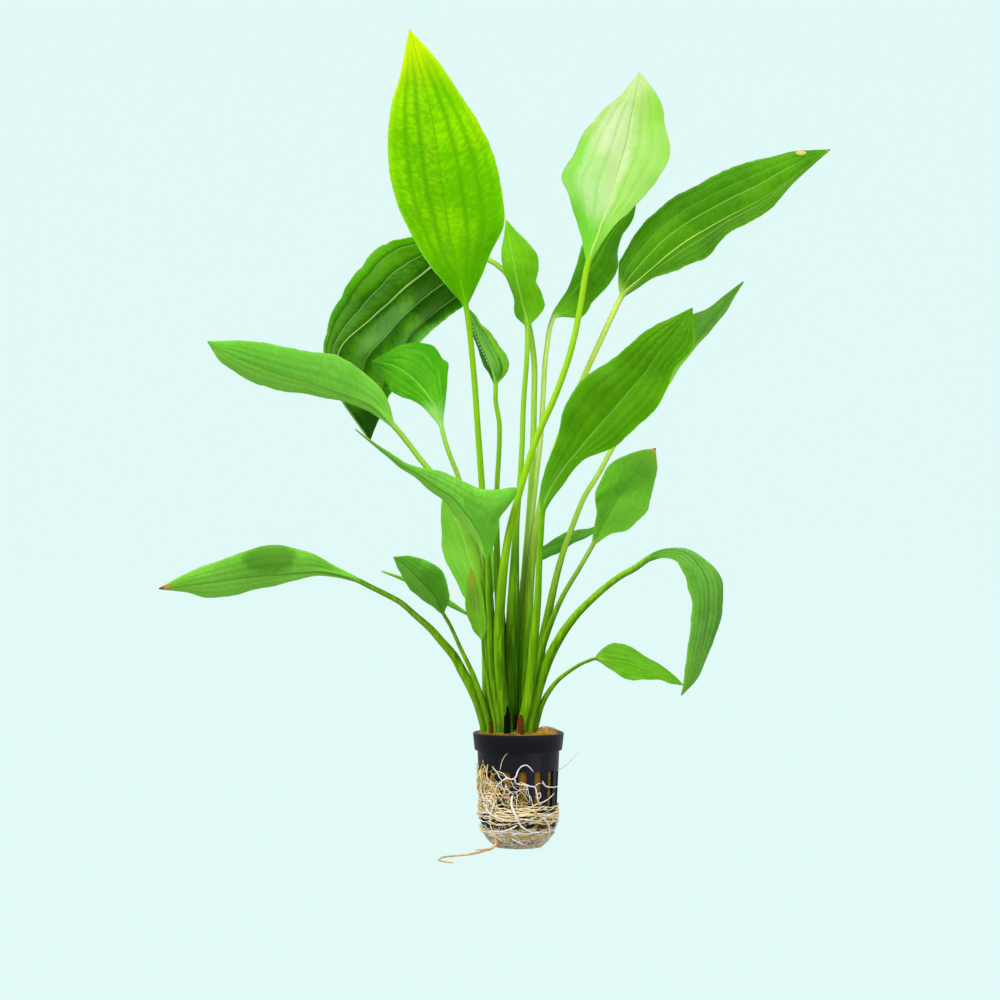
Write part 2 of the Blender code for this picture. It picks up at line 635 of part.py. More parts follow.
def make_wool(group):
    """The plug of stone wool that fills the pot up to its collar."""
    clear = POT_WALL + GAP
    profile = [(0.0, WOOL_TOP), (BODY_TOP_RADIUS - clear - WOOL_BEVEL, WOOL_TOP)]
    profile += [(BODY_TOP_RADIUS - clear, WOOL_TOP - WOOL_BEVEL)]
    profile += [(wall_radius(h) - clear, h) for h in (BODY_TOP, BODY_LOW_HEIGHT)]
    profile += [inside_wall(h, clear) for h in CORNER_HEIGHTS]
    profile += [(BASE_RADIUS - GAP, clear), (0.0, clear)]
    screw("rock_wool", profile, WOOL_STEPS, material("stone wool"), group)


def make_crown(group):
    """The low lumpy rootstock that all the leaves grow from."""
    foot, top = WOOL_TOP + GAP, FOOT_HEIGHT - GAP
    rings = []
    for size, rise in CROWN_RINGS:
        ring = []
        for i in range(CROWN_SIDES):
            turn = 2 * math.pi * i / CROWN_SIDES
            lumps = sum(large * math.sin(count * turn + shift) for count, large, shift in CROWN_LUMPS)
            x = CROWN_CENTRE[0] + CROWN_HALF[0] * size * (1 + lumps) * math.cos(turn)
            y = CROWN_CENTRE[1] + CROWN_HALF[1] * size * (1 + lumps) * math.sin(turn)
            ring.append((x, y, foot + (top - foot) * rise))
        rings.append(ring)
    add_mesh("crown", loft("crown", rings), material("crown"), group)


def make_sheaths(group):
    """Thin curved scales, upright at the foot of the bunch."""
    look = material("dry sheath")
    for name, sheath in SHEATHS.items():
        turn = Matrix.Rotation(math.radians(sheath["turn"]), 4, "Z")
        place = Matrix.Translation((*sheath["place"], FOOT_HEIGHT)) @ turn
        rings = []
        for rise, wide in SHEATH_RINGS:
            half = sheath["width"] / 2 * wide
            rings.append([
                place @ Vector((
                    across * half,
                    thick + SHEATH_CURL * across * across * half + SHEATH_LEAN * rise,
                    rise * sheath["height"],
                ))
                for across, thick in SHEATH_SECTION
            ])
        add_mesh(name, loft(name, rings), look, group)


# ---- Roots ------------------------------------------------------------------------------------

def tube(name, points, radius, spacing, look, group):
    """A round root along a smooth curve through the points, a little thinner at its end."""
    points = np.array(points, float)
    knots = chord_knots(points)
    count = max(6, int(knots[-1] / spacing))
    run = read_curve(knots, points, np.linspace(0, knots[-1], count))
    curve = bpy.data.curves.new(name, "CURVE")
    curve.dimensions = "3D"
    curve.bevel_depth = radius * MM
    curve.bevel_resolution = 1
    curve.use_fill_caps = True
    spline = curve.splines.new("POLY")
    spline.points.add(count - 1)
    for i, place in enumerate(run):
        spline.points[i].co = (*(place * MM), 1.0)
        spline.points[i].radius = 1.0 - ROOT_TAPER * i / (count - 1)
    curve.materials.append(look)
    group.objects.link(bpy.data.objects.new(name, curve))


def over_belts(up):
    """How far a root rises off the wall at a height, to pass over the belts."""
    rise = 0.0
    for spec in ROOT_BELTS.values():
        edge = spec["half_height"] * (1 + BELT_SWELL) + spec["swing"]
        near = (edge + BELT_RAMP - abs(up - spec["height"])) / BELT_RAMP
        rise = max(rise, 2 * spec["half_depth"] * min(1.0, near))
    return rise


def on_wall(across, up, radius):
    """The place in front of the pot where a root of this radius lies on the wall or the belts."""
    out = wall_radius(up) + (ROOT_GAP + radius) * math.hypot(1, wall_slope(up))
    rise = over_belts(up)
    if rise > 0:
        out += rise + ROOT_GAP
    return across, -math.sqrt(max(out * out - across * across, 0.0)), up


def make_belt(name, spec, look, group):
    """A closed belt that lies round the pot and swings up and down."""
    made = bmesh.new()
    rings = []
    for i in range(BELT_STEPS):
        turn = 2 * math.pi * i / BELT_STEPS
        height = spec["height"] + spec["swing"] * math.sin(spec["waves"] * turn + BELT_TURN)
        swell = 1 + BELT_SWELL * math.sin(BELT_SWELL_COUNT * turn + BELT_SWELL_TURN)
        ring = []
        for k in range(BELT_SIDES):
            around = 2 * math.pi * (k + 0.5) / BELT_SIDES
            up = height + swell * spec["half_height"] * math.sin(around)
            out = wall_radius(up) + ROOT_GAP + spec["half_depth"] * (1 + math.cos(around))
            ring.append(made.verts.new(Vector((out * math.cos(turn), out * math.sin(turn), up)) * MM))
        rings.append(ring)
    for i in range(BELT_STEPS):
        bridge(made, rings[i], rings[(i + 1) % BELT_STEPS])
    add_mesh(name, finished(made, name), look, group)


def make_mat(look, group):
    """The pad of matted roots that bulges from the slots on the left."""
    rings = []
    for i in range(MAT_STEPS + 1):
        share = 2 * i / MAT_STEPS - 1
        turn = math.radians(MAT_TURN + MAT_HALF_ANGLE * share)
        round_off = math.sqrt(max(MAT_END, 1 - share * share))
        half = MAT_HALF_HEIGHT * round_off * (1 + MAT_WAVE * math.sin(MAT_WAVES * share))
        ring = []
        for k in range(MAT_SIDES):
            around = 2 * math.pi * k / MAT_SIDES
            up = MAT_HEIGHT + half * math.sin(around)
            out = wall_radius(up) + ROOT_GAP + MAT_THICKNESS * round_off * (1 + math.cos(around)) / 2
            ring.append((out * math.cos(turn), out * math.sin(turn), up))
        rings.append(ring)
    add_mesh("root_mat_left", loft("root_mat_left", rings), look, group)


def make_roots(group):
    look = material("root")
    for name, root in WALL_ROOTS.items():
        points = [on_wall(across, up, root["radius"]) for across, up in root["route"]]
        tube(name, points, root["radius"], ROOT_SPACING, look, group)
    for name, spec in ROOT_BELTS.items():
        make_belt(name, spec, look, group)
    make_mat(look, group)
    tube("root_stray", STRAY_ROUTE, STRAY_RADIUS, ROOT_SPACING, look, group)
    tube("root_trailing", TRAILING_ROUTE, TRAILING_RADIUS, TRAILING_SPACING, look, group)


def main():
    clear_scene()
    plant = collection("potted_amazon_sword")
    cutters = collection("cutters", hidden=True)
    make_pot(plant, cutters)
    make_wool(plant)
    make_crown(plant)
    make_sheaths(plant)
    make_leaves(plant)
    make_roots(plant)


main()
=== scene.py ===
# %% [markdown]
# # A potted amazon sword plant
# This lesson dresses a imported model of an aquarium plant: twenty-one long-stalked leaves on one
# crown, planted in stone wool in a slotted pot, with white roots outside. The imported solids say
# where everything is. Each step explains one piece or one finish, how it could be made, and why
# this way was taken.

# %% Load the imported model
import math
import random

import bpy
import numpy as np
from mathutils import Matrix, Vector, noise


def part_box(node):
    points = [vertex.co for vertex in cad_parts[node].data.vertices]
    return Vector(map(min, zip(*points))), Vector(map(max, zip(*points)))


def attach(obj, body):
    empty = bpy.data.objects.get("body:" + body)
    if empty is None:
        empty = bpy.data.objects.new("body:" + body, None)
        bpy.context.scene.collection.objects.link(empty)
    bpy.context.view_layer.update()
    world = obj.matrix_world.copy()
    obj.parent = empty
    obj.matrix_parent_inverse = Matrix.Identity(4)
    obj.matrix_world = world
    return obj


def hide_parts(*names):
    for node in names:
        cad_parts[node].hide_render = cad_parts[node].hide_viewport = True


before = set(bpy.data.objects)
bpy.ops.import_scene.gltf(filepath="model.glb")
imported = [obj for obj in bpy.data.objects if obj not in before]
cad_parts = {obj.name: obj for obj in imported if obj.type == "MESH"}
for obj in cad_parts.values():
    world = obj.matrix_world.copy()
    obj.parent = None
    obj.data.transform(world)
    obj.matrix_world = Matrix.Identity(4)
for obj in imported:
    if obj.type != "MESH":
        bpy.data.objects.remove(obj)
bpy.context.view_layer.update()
MM = 0.001
print("packed model holds", len(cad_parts), "pieces")

# %% [markdown]
# ## The camera
# The plant was photographed from the front, from a little above its middle, with a long lens: the
# pot's rim is seen almost edge on. A long lens a few metres off keeps that flat look. The camera is
# aimed with a rotation worked out from where it looks.

# %% Camera
EYE = Vector((-0.0100, -3.2000, 0.3320))
AIM = Vector((-0.0105, 0.0, 0.1986))
FRAME_WIDTH = 0.570
SENSOR = 36.0

bpy.ops.object.camera_add(location=EYE)
camera = bpy.context.object
camera.rotation_euler = (AIM - EYE).to_track_quat("-Z", "Y").to_euler()
camera.data.sensor_width = SENSOR
camera.data.lens = SENSOR * (AIM - EYE).length / FRAME_WIDTH
camera.data.clip_end = 50.0
bpy.context.scene.camera = camera
bpy.context.scene.view_settings.view_transform = "Standard"
print("lens", round(camera.data.lens, 1), "mm")

# %% [markdown]
# ## Shader maths as Python
# A pattern on a leaf is a sum: distance from the midrib, times something, plus a little noise. Such
# a sum is tedious as nodes and plain as an expression, so a small class wraps a socket and turns
# each operator into its Math node. Every other node comes from one method, `node`.

# %% The socket wrapper
class Value:
    """A number that varies over a surface. Python's operators on it add Math nodes."""

    def __init__(self, nodes, socket):
        self.nodes = nodes
        self.socket = socket

    def math(self, operation, *others):
        sockets = dict(enumerate((self, *others)))
        return self.nodes.node("ShaderNodeMath", {"operation": operation}, sockets)

    def __add__(self, other):
        return self.math("ADD", other)

    def __sub__(self, other):
        return self.math("SUBTRACT", other)

    def __rsub__(self, other):
        settings = {"operation": "SUBTRACT"}
        return self.nodes.node("ShaderNodeMath", settings, {0: other, 1: self})

    def __mul__(self, other):
        return self.math("MULTIPLY", other)

    def __truediv__(self, other):
        return self.math("DIVIDE", other)

    def __pow__(self, other):
        return self.math("POWER", other)

    def __abs__(self):
        return self.math("ABSOLUTE")

    __radd__ = __add__
    __rmul__ = __mul__

    def fraction(self):
        return self.math("FRACT")

    def rise(self, low, high, way="SMOOTHSTEP"):
        """0 below low, 1 above high, smooth between. With low above high it falls instead."""
        if low > high:
            return 1 - self.rise(high, low, way)
        limits = {"Value": self, "From Min": low, "From Max": high}
        return self.nodes.node("ShaderNodeMapRange", {"interpolation_type": way}, limits)


# %% The node builder
class Nodes:
    """A node tree that is filled by expressions."""

    def __init__(self, tree):
        self.tree = tree

    def node(self, kind, settings=None, values=None, out=0):
        """A node of this kind, with its settings set first and its sockets filled or linked."""
        made = self.tree.nodes.new(kind)
        for name, setting in (settings or {}).items():
            setattr(made, name, setting)
        for socket, value in (values or {}).items():
            self.feed(made.inputs[socket], value)
        return Value(self, made.outputs[out])

    def feed(self, socket, value):
        if isinstance(value, Value):
            self.tree.links.new(value.socket, socket)
        elif socket.type == "RGBA":
            socket.default_value = (*value, 1.0)
        else:
            socket.default_value = value

    def parts(self, vector):
        """The three numbers of a vector."""
        split = self.node("ShaderNodeSeparateXYZ", None, {0: vector})
        return [Value(self, socket) for socket in split.socket.node.outputs]

    def vector(self, x, y, z):
        return self.node("ShaderNodeCombineXYZ", None, {0: x, 1: y, 2: z})

    def mix(self, first, second, factor):
        """Colour first where factor is 0, and second where it is 1."""
        sockets = {0: factor, 6: first, 7: second}
        return self.node("ShaderNodeMix", {"data_type": "RGBA"}, sockets, out=2)


# %% The material builder
class Look(Nodes):
    """A material with a Principled shader. Constants are set on the shader's own sockets."""

    def __init__(self, name, **constants):
        self.material = bpy.data.materials.new(name)
        self.material.use_nodes = True
        super().__init__(self.material.node_tree)
        self.shader = self.tree.nodes["Principled BSDF"]
        self.set(**constants)

    def set(self, **values):
        """Fill the shader's sockets, named with _ for each space."""
        for name, value in values.items():
            self.feed(self.shader.inputs[name.replace("_", " ")], value)

    def place(self, scale=(1.0, 1.0, 1.0)):
        """Where a point is on the object, in metres times scale."""
        coordinates = self.node("ShaderNodeTexCoord", out="Object")
        return self.node("ShaderNodeMapping", None, {"Vector": coordinates, "Scale": scale})

    def height(self):
        """How high a point is, in metres."""
        return self.parts(self.place())[2]

    def noise(self, size, detail=3.0, where=None):
        """Soft noise from 0 to 1 whose lumps are about size across, in the units of where."""
        values = {"Vector": where or self.place(), "Scale": 1 / size, "Detail": detail}
        return self.node("ShaderNodeTexNoise", None, values)

    def attribute(self, name):
        return self.node("ShaderNodeAttribute", {"attribute_name": name}, out="Fac")

    def bump(self, height, depth, strength=1.0):
        values = {"Height": height, "Distance": depth, "Strength": strength}
        self.set(Normal=self.node("ShaderNodeBump", None, values))


def paint(red, green, blue):
    """A colour as it is seen, from 0 to 255, as the linear value that a shader wants."""
    shares = [c / 255 for c in (red, green, blue)]
    return tuple(s / 12.92 if s <= 0.04045 else ((s + 0.055) / 1.055) ** 2.4 for s in shares)


# %% [markdown]
# ## Stage
# The plant stands on a pale mint floor that curves up into the backdrop, so that no line shows
# behind the leaves. A plane bent up at the back would do for one picture, but it would hide the
# plant from behind. So the stage is a bowl: a disc whose rim is extruded outwards and up in small
# steps. Nearly all of its light is its own glow, which keeps it even. It casts no shadow and is
# hidden from the rays that carry soft light and gloss, because a bright floor would light every
# leaf from below and wash out the folds.

# %% Selecting, naming and finishing helpers
def deselect():
    bpy.ops.object.select_all(action="DESELECT")


def only(obj):
    """Make obj the one selected and active object."""
    deselect()
    obj.select_set(True)
    bpy.context.view_layer.objects.active = obj


def modifier(obj, kind, **settings):
    """Add a modifier and apply it at once."""
    made = obj.modifiers.new(kind.lower(), kind)
    for name, value in settings.items():
        setattr(made, name, value)
    only(obj)
    bpy.ops.object.modifier_apply(modifier=made.name)


def named(name):
    """The active object, with its name set on it and on its mesh."""
    piece = bpy.context.object
    piece.name = piece.data.name = name
    return piece


def close_up(merge, holes=False):
    """Merge points nearer than merge metres, fill holes, and turn every face outwards."""
    bpy.ops.object.mode_set(mode="EDIT")
    bpy.ops.mesh.select_all(action="SELECT")
    bpy.ops.mesh.remove_doubles(threshold=merge)
    if holes:
        bpy.ops.mesh.fill_holes(sides=0)
        bpy.ops.mesh.select_all(action="SELECT")
    bpy.ops.mesh.normals_make_consistent(inside=False)
    bpy.ops.object.mode_set(mode="OBJECT")


# %% The bowl
MINT = paint(225, 250, 247)
GLOW = 0.985
RIM_POINTS = 96
FLOOR_RADIUS = 5.0
BEND_RADIUS = 2.0
BEND_STEPS = 12
WALL_TOP = 12.0

deselect()
bpy.ops.mesh.primitive_circle_add(vertices=RIM_POINTS, radius=FLOOR_RADIUS, fill_type="NGON")
stage = bpy.context.object
stage.name = "stage"
bpy.ops.object.mode_set(mode="EDIT")
bpy.ops.mesh.select_mode(type="EDGE")
bpy.ops.mesh.select_all(action="SELECT")
bends = [math.pi / 2 * k / BEND_STEPS for k in range(BEND_STEPS + 1)]
rims = [(FLOOR_RADIUS + BEND_RADIUS * math.sin(a), BEND_RADIUS * (1 - math.cos(a))) for a in bends]
rims.append((rims[-1][0], WALL_TOP))
bpy.ops.mesh.region_to_loop()
for (radius, height), (wider, higher) in zip(rims, rims[1:]):
    bpy.ops.mesh.extrude_edges_move(TRANSFORM_OT_translate={"value": (0, 0, higher - height)})
    grow = wider / radius
    bpy.ops.transform.resize(value=(grow, grow, 1), center_override=(0, 0, 0))
bpy.ops.mesh.select_all(action="SELECT")
bpy.ops.mesh.normals_make_consistent(inside=True)
bpy.ops.object.mode_set(mode="OBJECT")
bpy.ops.object.shade_smooth_by_angle(angle=math.radians(30))
stage.visible_diffuse = False
stage.visible_glossy = False
stage.visible_shadow = False

dull = tuple(c * (1 - GLOW) for c in MINT)
mint = Look("mint stage", Base_Color=dull, Roughness=1.0, Specular_IOR_Level=0.0)
mint.set(Emission_Color=MINT, Emission_Strength=GLOW)
stage.data.materials.append(mint.material)
print("stage has", len(stage.data.polygons), "faces")

# %% [markdown]
# ## Light
# The light is a bright soft sky that is stronger from above, with three broad lamps: the key at the
# upper left gives the folds their shape, the fill opens the right side, and the one behind puts a
# thin bright edge on leaves and stalks.

# %% Lamps and sky
SKY_ABOVE = 0.80
SKY_BELOW = 0.34
SKY_TURN = (-0.6, 0.8)
LAMPS = {
    "key": dict(place=(-1.3, -1.6, 1.7), size=0.9, watts=40.0),
    "fill": dict(place=(1.7, -1.5, 0.5), size=1.4, watts=11.0),
    "behind": dict(place=(0.4, 1.5, 1.4), size=1.0, watts=12.0),
}
LAMP_TARGET = Vector((0.0, 0.0, 0.25))

world = bpy.data.worlds.new("studio")
bpy.context.scene.world = world
world.use_nodes = True
sky = Nodes(world.node_tree)
up = sky.parts(sky.node("ShaderNodeTexCoord", out="Generated"))[2]
background = world.node_tree.nodes["Background"]
sky.feed(background.inputs["Color"], (1.0, 1.0, 1.0))
strength = up.rise(*SKY_TURN) * (SKY_ABOVE - SKY_BELOW) + SKY_BELOW
sky.feed(background.inputs["Strength"], strength)
for name, lamp in LAMPS.items():
    bpy.ops.object.light_add(type="AREA", location=lamp["place"])
    light = bpy.context.object
    light.name = name
    light.data.size = lamp["size"]
    light.data.energy = lamp["watts"]
    light.rotation_euler = (LAMP_TARGET - light.location).to_track_quat("-Z", "Y").to_euler()
print("lamps:", ", ".join(LAMPS))

# %% [markdown]
# ## The shape of a leaf
# A sword leaf grows as one piece: a round stalk that flattens into a blade with a thick midrib. It
# could be a plane bent by curves, but then stalk and blade would meet in a seam. Here the whole
# leaf is one skin: a grid is wrapped round the leaf, so that its cross-section is a circle on the
# stalk and a thin lens on the blade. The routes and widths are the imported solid's own driving
# values, in millimetres. A route gives places across and up as seen from the front, first along the
# stalk and then along the rib. The depths say how far back it lies, left and right are the blade's
# half widths from its base to its tip, lean is how far each half bends back for its width, and
# radius is the stalk's at its foot and top.

# %% Leaf routes, widths and depths
LEAVES = {
    "leaf_tall": dict(
        stalk=[(-9.4, 68), (-11.8, 95), (-15, 119), (-18, 164), (-21, 210), (-23, 238),
            (-25.5, 272), (-30, 310)],
        rib=[(-33, 324), (-38, 344), (-42, 369), (-46, 398), (-51, 426), (-62, 466)],
        stalk_depth=(-3.6, -2.2, -6, -13, -22), blade_depth=(-31, -42, -50, -52),
        left=(12, 20, 26.5, 29, 27, 21.5, 10.5), right=(17, 31, 33, 31.5, 26, 17.5, 10),
        lean=(-0.2, -0.1), radius=(2.1, 1.6), slot="leaf_bright"),
    "leaf_pale": dict(
        stalk=[(-5.6, 68), (-10, 95), (-11, 119), (-9, 153), (-5, 181), (1, 204), (10, 233),
            (21, 258), (30, 284), (35, 307), (40, 335)],
        rib=[(44, 347), (48, 358), (52, 369), (56, 384), (61, 401), (65, 421), (69, 442)],
        stalk_depth=(-10.2, -16.5, -16, -9, 2), blade_depth=(11, 21, 30, 38),
        left=(10, 21, 30, 27, 25, 18, 8), right=(4.5, 9.5, 17, 23, 26, 20, 14.5),
        lean=(0.15, -0.2), radius=(2.1, 1.7), slot="leaf_pale"),
    "leaf_far_right": dict(
        stalk=[(4.8, 68), (5, 105), (6, 141), (10, 181), (17, 215), (27, 244), (37, 268),
            (47, 290), (55, 307), (59, 315)],
        rib=[(67, 322), (75, 329), (92, 343), (115, 357), (144, 373), (161, 386), (177, 398)],
        stalk_depth=(-1.6, 2.5, 4, 7, 13), blade_depth=(22, 32, 42, 52),
        left=(18, 23, 25.5, 25, 24, 20.5, 12), right=(4.5, 10, 12.5, 8.5, 8, 4, 2),
        lean=(0.35, -1.5), radius=(2.0, 1.6), slot="leaf_fresh"),
    "leaf_dark_upper": dict(
        stalk=[(0.2, 68), (2.5, 120), (5, 164), (10, 210), (13, 238), (14, 255), (16, 284),
            (20, 303)],
        rib=[(32, 318), (44, 334), (52, 349), (63, 363), (67, 369)],
        stalk_depth=(0.8, 5.5, 9.5, 14, 24), blade_depth=(38, 54, 70, 84),
        left=(2.5, 4.5, 8, 11, 11, 8, 4), right=(13, 12.5, 13, 13, 8.5, 5.5, 4.5),
        lean=(0.3, 0.2), radius=(1.9, 1.4), slot="leaf_dark"),
    "leaf_centre": dict(
        stalk=[(-4.2, 68), (-3, 130), (-2, 164), (-1, 187), (1, 210), (2, 227), (3, 255),
            (5, 284), (5, 298)],
        rib=[(2, 312), (-2, 329), (-5, 347), (-7, 358)],
        stalk_depth=(-1.2, -0.5, 1.5, 3, 6), blade_depth=(13, 24, 37, 50),
        left=(6, 4.5, 4.5, 6, 7, 5, 2.5), right=(11.5, 12, 10.5, 13.5, 14, 10.5, 5.5),
        lean=(0.9, 0.25), radius=(1.9, 1.4), slot="leaf_fresh"),
    "leaf_broad_back": dict(
        stalk=[(1.2, 68), (2.8, 120), (5, 165), (7.5, 210), (9, 255), (9, 278), (6, 298),
            (1, 315), (-5, 325), (-10, 331), (-16, 335), (-30, 340)],
        rib=[(-42, 336), (-56, 326.5), (-69, 315.5), (-80.5, 304), (-89.5, 291.5), (-95, 279),
            (-96.5, 266), (-94.5, 254), (-90, 243), (-84.6, 232.4)],
        stalk_depth=(5.6, 11, 17, 29, 52), blade_depth=(62, 72, 80, 85),
        left=(28, 28.5, 28.5, 31.5, 32, 29.5, 19.5), right=(19, 27, 25.5, 22.5, 18, 9.5, 2.2),
        lean=(0.1, -0.25), radius=(2.1, 1.5), slot="leaf_dark"),
    "leaf_left": dict(
        stalk=[(-14.8, 68), (-16, 100), (-18, 136), (-23, 164), (-32, 187), (-42, 204),
            (-50, 215), (-56, 222), (-62, 230), (-72, 242)],
        rib=[(-84, 253), (-99, 259), (-113, 264), (-136, 271), (-153, 277), (-167, 283),
            (-177, 289)],
        stalk_depth=(-4.4, -9, -11, -16, -26), blade_depth=(-38, -50, -62, -72),
        left=(4, 4, 6.5, 8, 9.5, 10, 7), right=(10, 16, 19, 17, 15, 13, 9),
        lean=(1.3, -0.4), radius=(1.7, 1.6), slot="leaf_matt"),
    "leaf_left_back": dict(
        stalk=[(-13.2, 68), (-15, 105), (-19, 141), (-25, 176), (-30, 198), (-35, 214),
            (-39, 224), (-42, 233), (-44, 241)],
        rib=[(-46, 249), (-51, 258), (-60, 268), (-70, 275), (-83, 278)],
        stalk_depth=(5.6, 5.2, 8, 12, 19), blade_depth=(28, 38, 48, 57),
        left=(4.5, 6.5, 9, 12, 14, 12.5, 8), right=(3.5, 9, 16.5, 21, 21, 17, 9),
        lean=(0.6, 0.2), radius=(1.8, 1.3), slot="leaf_fresh"),
    "leaf_bumpy": dict(
        stalk=[(-8.6, 68), (-9.6, 119), (-12, 164), (-12, 210), (-11, 227), (-11, 244),
            (-13, 255), (-13, 265)],
        rib=[(-16, 277), (-21, 288), (-25, 298), (-29, 308)],
        stalk_depth=(1.2, 2, 3, 5, 8), blade_depth=(14, 24, 35),
        left=(2.5, 4, 3.5, 3, 3, 2.5, 2), right=(8.5, 10, 9, 8.5, 7, 4, 3),
        lean=(1.6, 0.3), radius=(1.8, 1.3), slot="leaf_dark"),
    "leaf_twisted": dict(
        stalk=[(-10.2, 68), (-15, 107), (-17, 141), (-18, 166)],
        rib=[(-20, 175), (-24, 184), (-30, 192), (-37, 200), (-48, 207), (-58, 214), (-67, 219),
            (-75, 225), (-93, 239)],
        stalk_depth=(-9.4, -12, -16, -21), blade_depth=(-30, -45, -64, -84),
        left=(5, 6, 5.5, 4, 2.2, 1.4, 0.9), right=(11, 25.5, 13.5, 9, 3, 2, 0.9),
        lean=(1.5, 0.1), radius=(1.9, 1.4), slot="leaf_matt"),
    "leaf_light_back": dict(
        stalk=[(-17.2, 68), (-18.2, 90), (-19, 107), (-20, 135)],
        rib=[(-24, 152), (-29, 169), (-34, 183), (-39, 194), (-42, 204)],
        stalk_depth=(2.6, 8.5, 13), blade_depth=(26, 40, 54, 67),
        left=(8.5, 10.5, 12.5, 13.5, 12, 9, 5), right=(8, 12, 14, 14, 12, 9, 5),
        lean=(0.2, 0.2), radius=(1.8, 1.4), slot="leaf_fresh"),
    "leaf_spotted": dict(
        stalk=[(-13, 68), (-18, 96), (-20, 110), (-20.5, 119)],
        rib=[(-22, 128), (-23.5, 138), (-25, 148), (-27, 160)],
        stalk_depth=(-11, -12, -13.5), blade_depth=(-15, -17, -19),
        left=(4, 5.5, 6.5, 6.5, 6, 4.5, 3), right=(3, 4, 4, 4, 4, 3.5, 2.5),
        lean=(0.5, -0.6), radius=(0.9, 0.8), slot="leaf_fresh"),
    "leaf_low_left": dict(
        stalk=[(-18.5, 68), (-23, 83), (-27, 92), (-32, 101), (-37, 110), (-43, 117), (-50, 125),
            (-59, 133), (-67, 140), (-76, 145), (-84, 149), (-92, 153)],
        rib=[(-101, 156), (-113, 158), (-130, 157), (-153, 155), (-181, 151), (-205, 148)],
        stalk_depth=(-2.5, -6, -13, -25), blade_depth=(-38, -54, -68, -80),
        left=(2.5, 3.2, 5.5, 8, 9.5, 8.5, 4), right=(4.2, 11.5, 16, 16, 13, 10, 6),
        lean=(1.2, -0.4), radius=(2.0, 1.5), slot="leaf_matt"),
    "leaf_small_left": dict(
        stalk=[(-15.8, 68), (-19, 79), (-26, 99), (-33, 114), (-40, 129), (-43, 134)],
        rib=[(-47, 143), (-56, 153), (-63, 160), (-71, 166)],
        stalk_depth=(-8.2, -13.5, -24), blade_depth=(-36, -48, -58),
        left=(4, 6.5, 7.5, 8, 7.5, 6, 4), right=(6, 9, 12, 12.5, 11, 8, 5),
        lean=(0.5, -0.2), radius=(1.4, 1.0), slot="leaf_dark"),
    "leaf_furled": dict(
        stalk=[(-13.4, 68), (-16.5, 100), (-19, 127), (-30, 134)],
        rib=[(-40, 140), (-50, 146), (-62, 152), (-78, 158)],
        stalk_depth=(1.4, 1, 0), blade_depth=(2, 8, 14),
        left=(1.5, 2, 2, 2, 1.6, 1.2, 0.8), right=(1.5, 2, 2, 2, 1.6, 1.2, 0.8),
        lean=(1.0, -0.6), radius=(1.2, 0.9), slot="leaf_fresh"),
    "leaf_large_right": dict(
        stalk=[(2, 68), (6.5, 90), (9, 119), (11, 141), (12, 164), (13, 181), (14, 193)],
        rib=[(18, 204), (24, 214), (32, 224), (41, 235), (52, 247), (61, 258), (72, 271),
            (81, 284), (89, 294), (99, 308)],
        stalk_depth=(-9.6, -12, -15, -20), blade_depth=(-30, -43, -55, -64),
        left=(8, 13.5, 22, 25, 20, 16, 10), right=(5, 5.5, 14, 16, 18, 13, 13),
        lean=(0.3, -0.5), radius=(2.1, 1.7), slot="leaf_fresh"),
    "leaf_behind_right": dict(
        stalk=[(5.4, 68), (10, 90), (12, 104), (14, 119), (17, 133), (22, 156), (25, 167),
            (31, 184), (38, 201), (46, 214), (54, 229), (67, 247)],
        rib=[(81, 264), (98, 285), (112, 303), (128, 323)],
        stalk_depth=(3.6, 6.5, 12, 22), blade_depth=(36, 50, 64, 76),
        left=(7, 12, 15, 15, 13, 6.2, 3.5), right=(6.5, 4, 2, 2, 3, 3, 2),
        lean=(0.3, -2.0), radius=(1.8, 1.4), slot="leaf_matt"),
    "leaf_small_right": dict(
        stalk=[(9.2, 68), (10.5, 96), (13.5, 113), (17, 124), (25, 143), (35, 160), (43, 174)],
        rib=[(48, 184), (55, 197), (64, 210), (71, 220), (78, 228)],
        stalk_depth=(1.4, -0.5, 1, 6), blade_depth=(14, 26, 38, 50),
        left=(4, 6.5, 12, 14, 15, 12.5, 7), right=(6, 14, 16.5, 18, 15, 12, 8.5),
        lean=(0.2, -0.2), radius=(1.6, 1.3), slot="leaf_fresh"),
    "leaf_edge_on": dict(
        stalk=[(5, 68), (5.5, 115), (7, 163)],
        rib=[(15, 169), (25, 174), (35, 178), (54, 186)],
        stalk_depth=(8.2, 16, 26), blade_depth=(52, 80, 106),
        left=(3, 3.5, 4.5, 4.5, 3.5, 2, 1.5), right=(3, 4, 4.5, 2.5, 2.3, 2, 1.5),
        lean=(2.8, -2.8), radius=(1.4, 1.1), slot="leaf_dark"),
    "leaf_drooping": dict(
        stalk=[(6, 68), (13, 96), (17, 107), (22, 117), (27, 125), (34, 134), (41, 141),
            (50, 149), (58, 155), (67, 160), (74, 165)],
        rib=[(84, 169), (94, 168), (102, 161), (107, 152), (108, 140), (106, 124), (103, 110),
            (99, 97), (93, 87)],
        stalk_depth=(-7, -8, -13, -22), blade_depth=(-30, -40, -48, -54),
        left=(2.2, 4.8, 8, 8.7, 7.7, 4.7, 3.2), right=(4.2, 8.7, 11, 8.6, 8.7, 7.3, 5),
        lean=(1.2, -1.0), radius=(2.1, 1.8), slot="leaf_matt"),
    "leaf_low_right": dict(
        stalk=[(9.6, 68), (14, 83), (18, 90), (23, 96), (28, 100), (38, 106), (44, 108)],
        rib=[(54, 107), (64, 105), (75, 101), (86, 96), (94, 93)],
        stalk_depth=(-3.2, -7, -14), blade_depth=(-22, -30, -36),
        left=(9, 10, 9, 7, 6, 5, 3.4), right=(4.2, 7, 9, 8.2, 5.2, 2.2, 1.8),
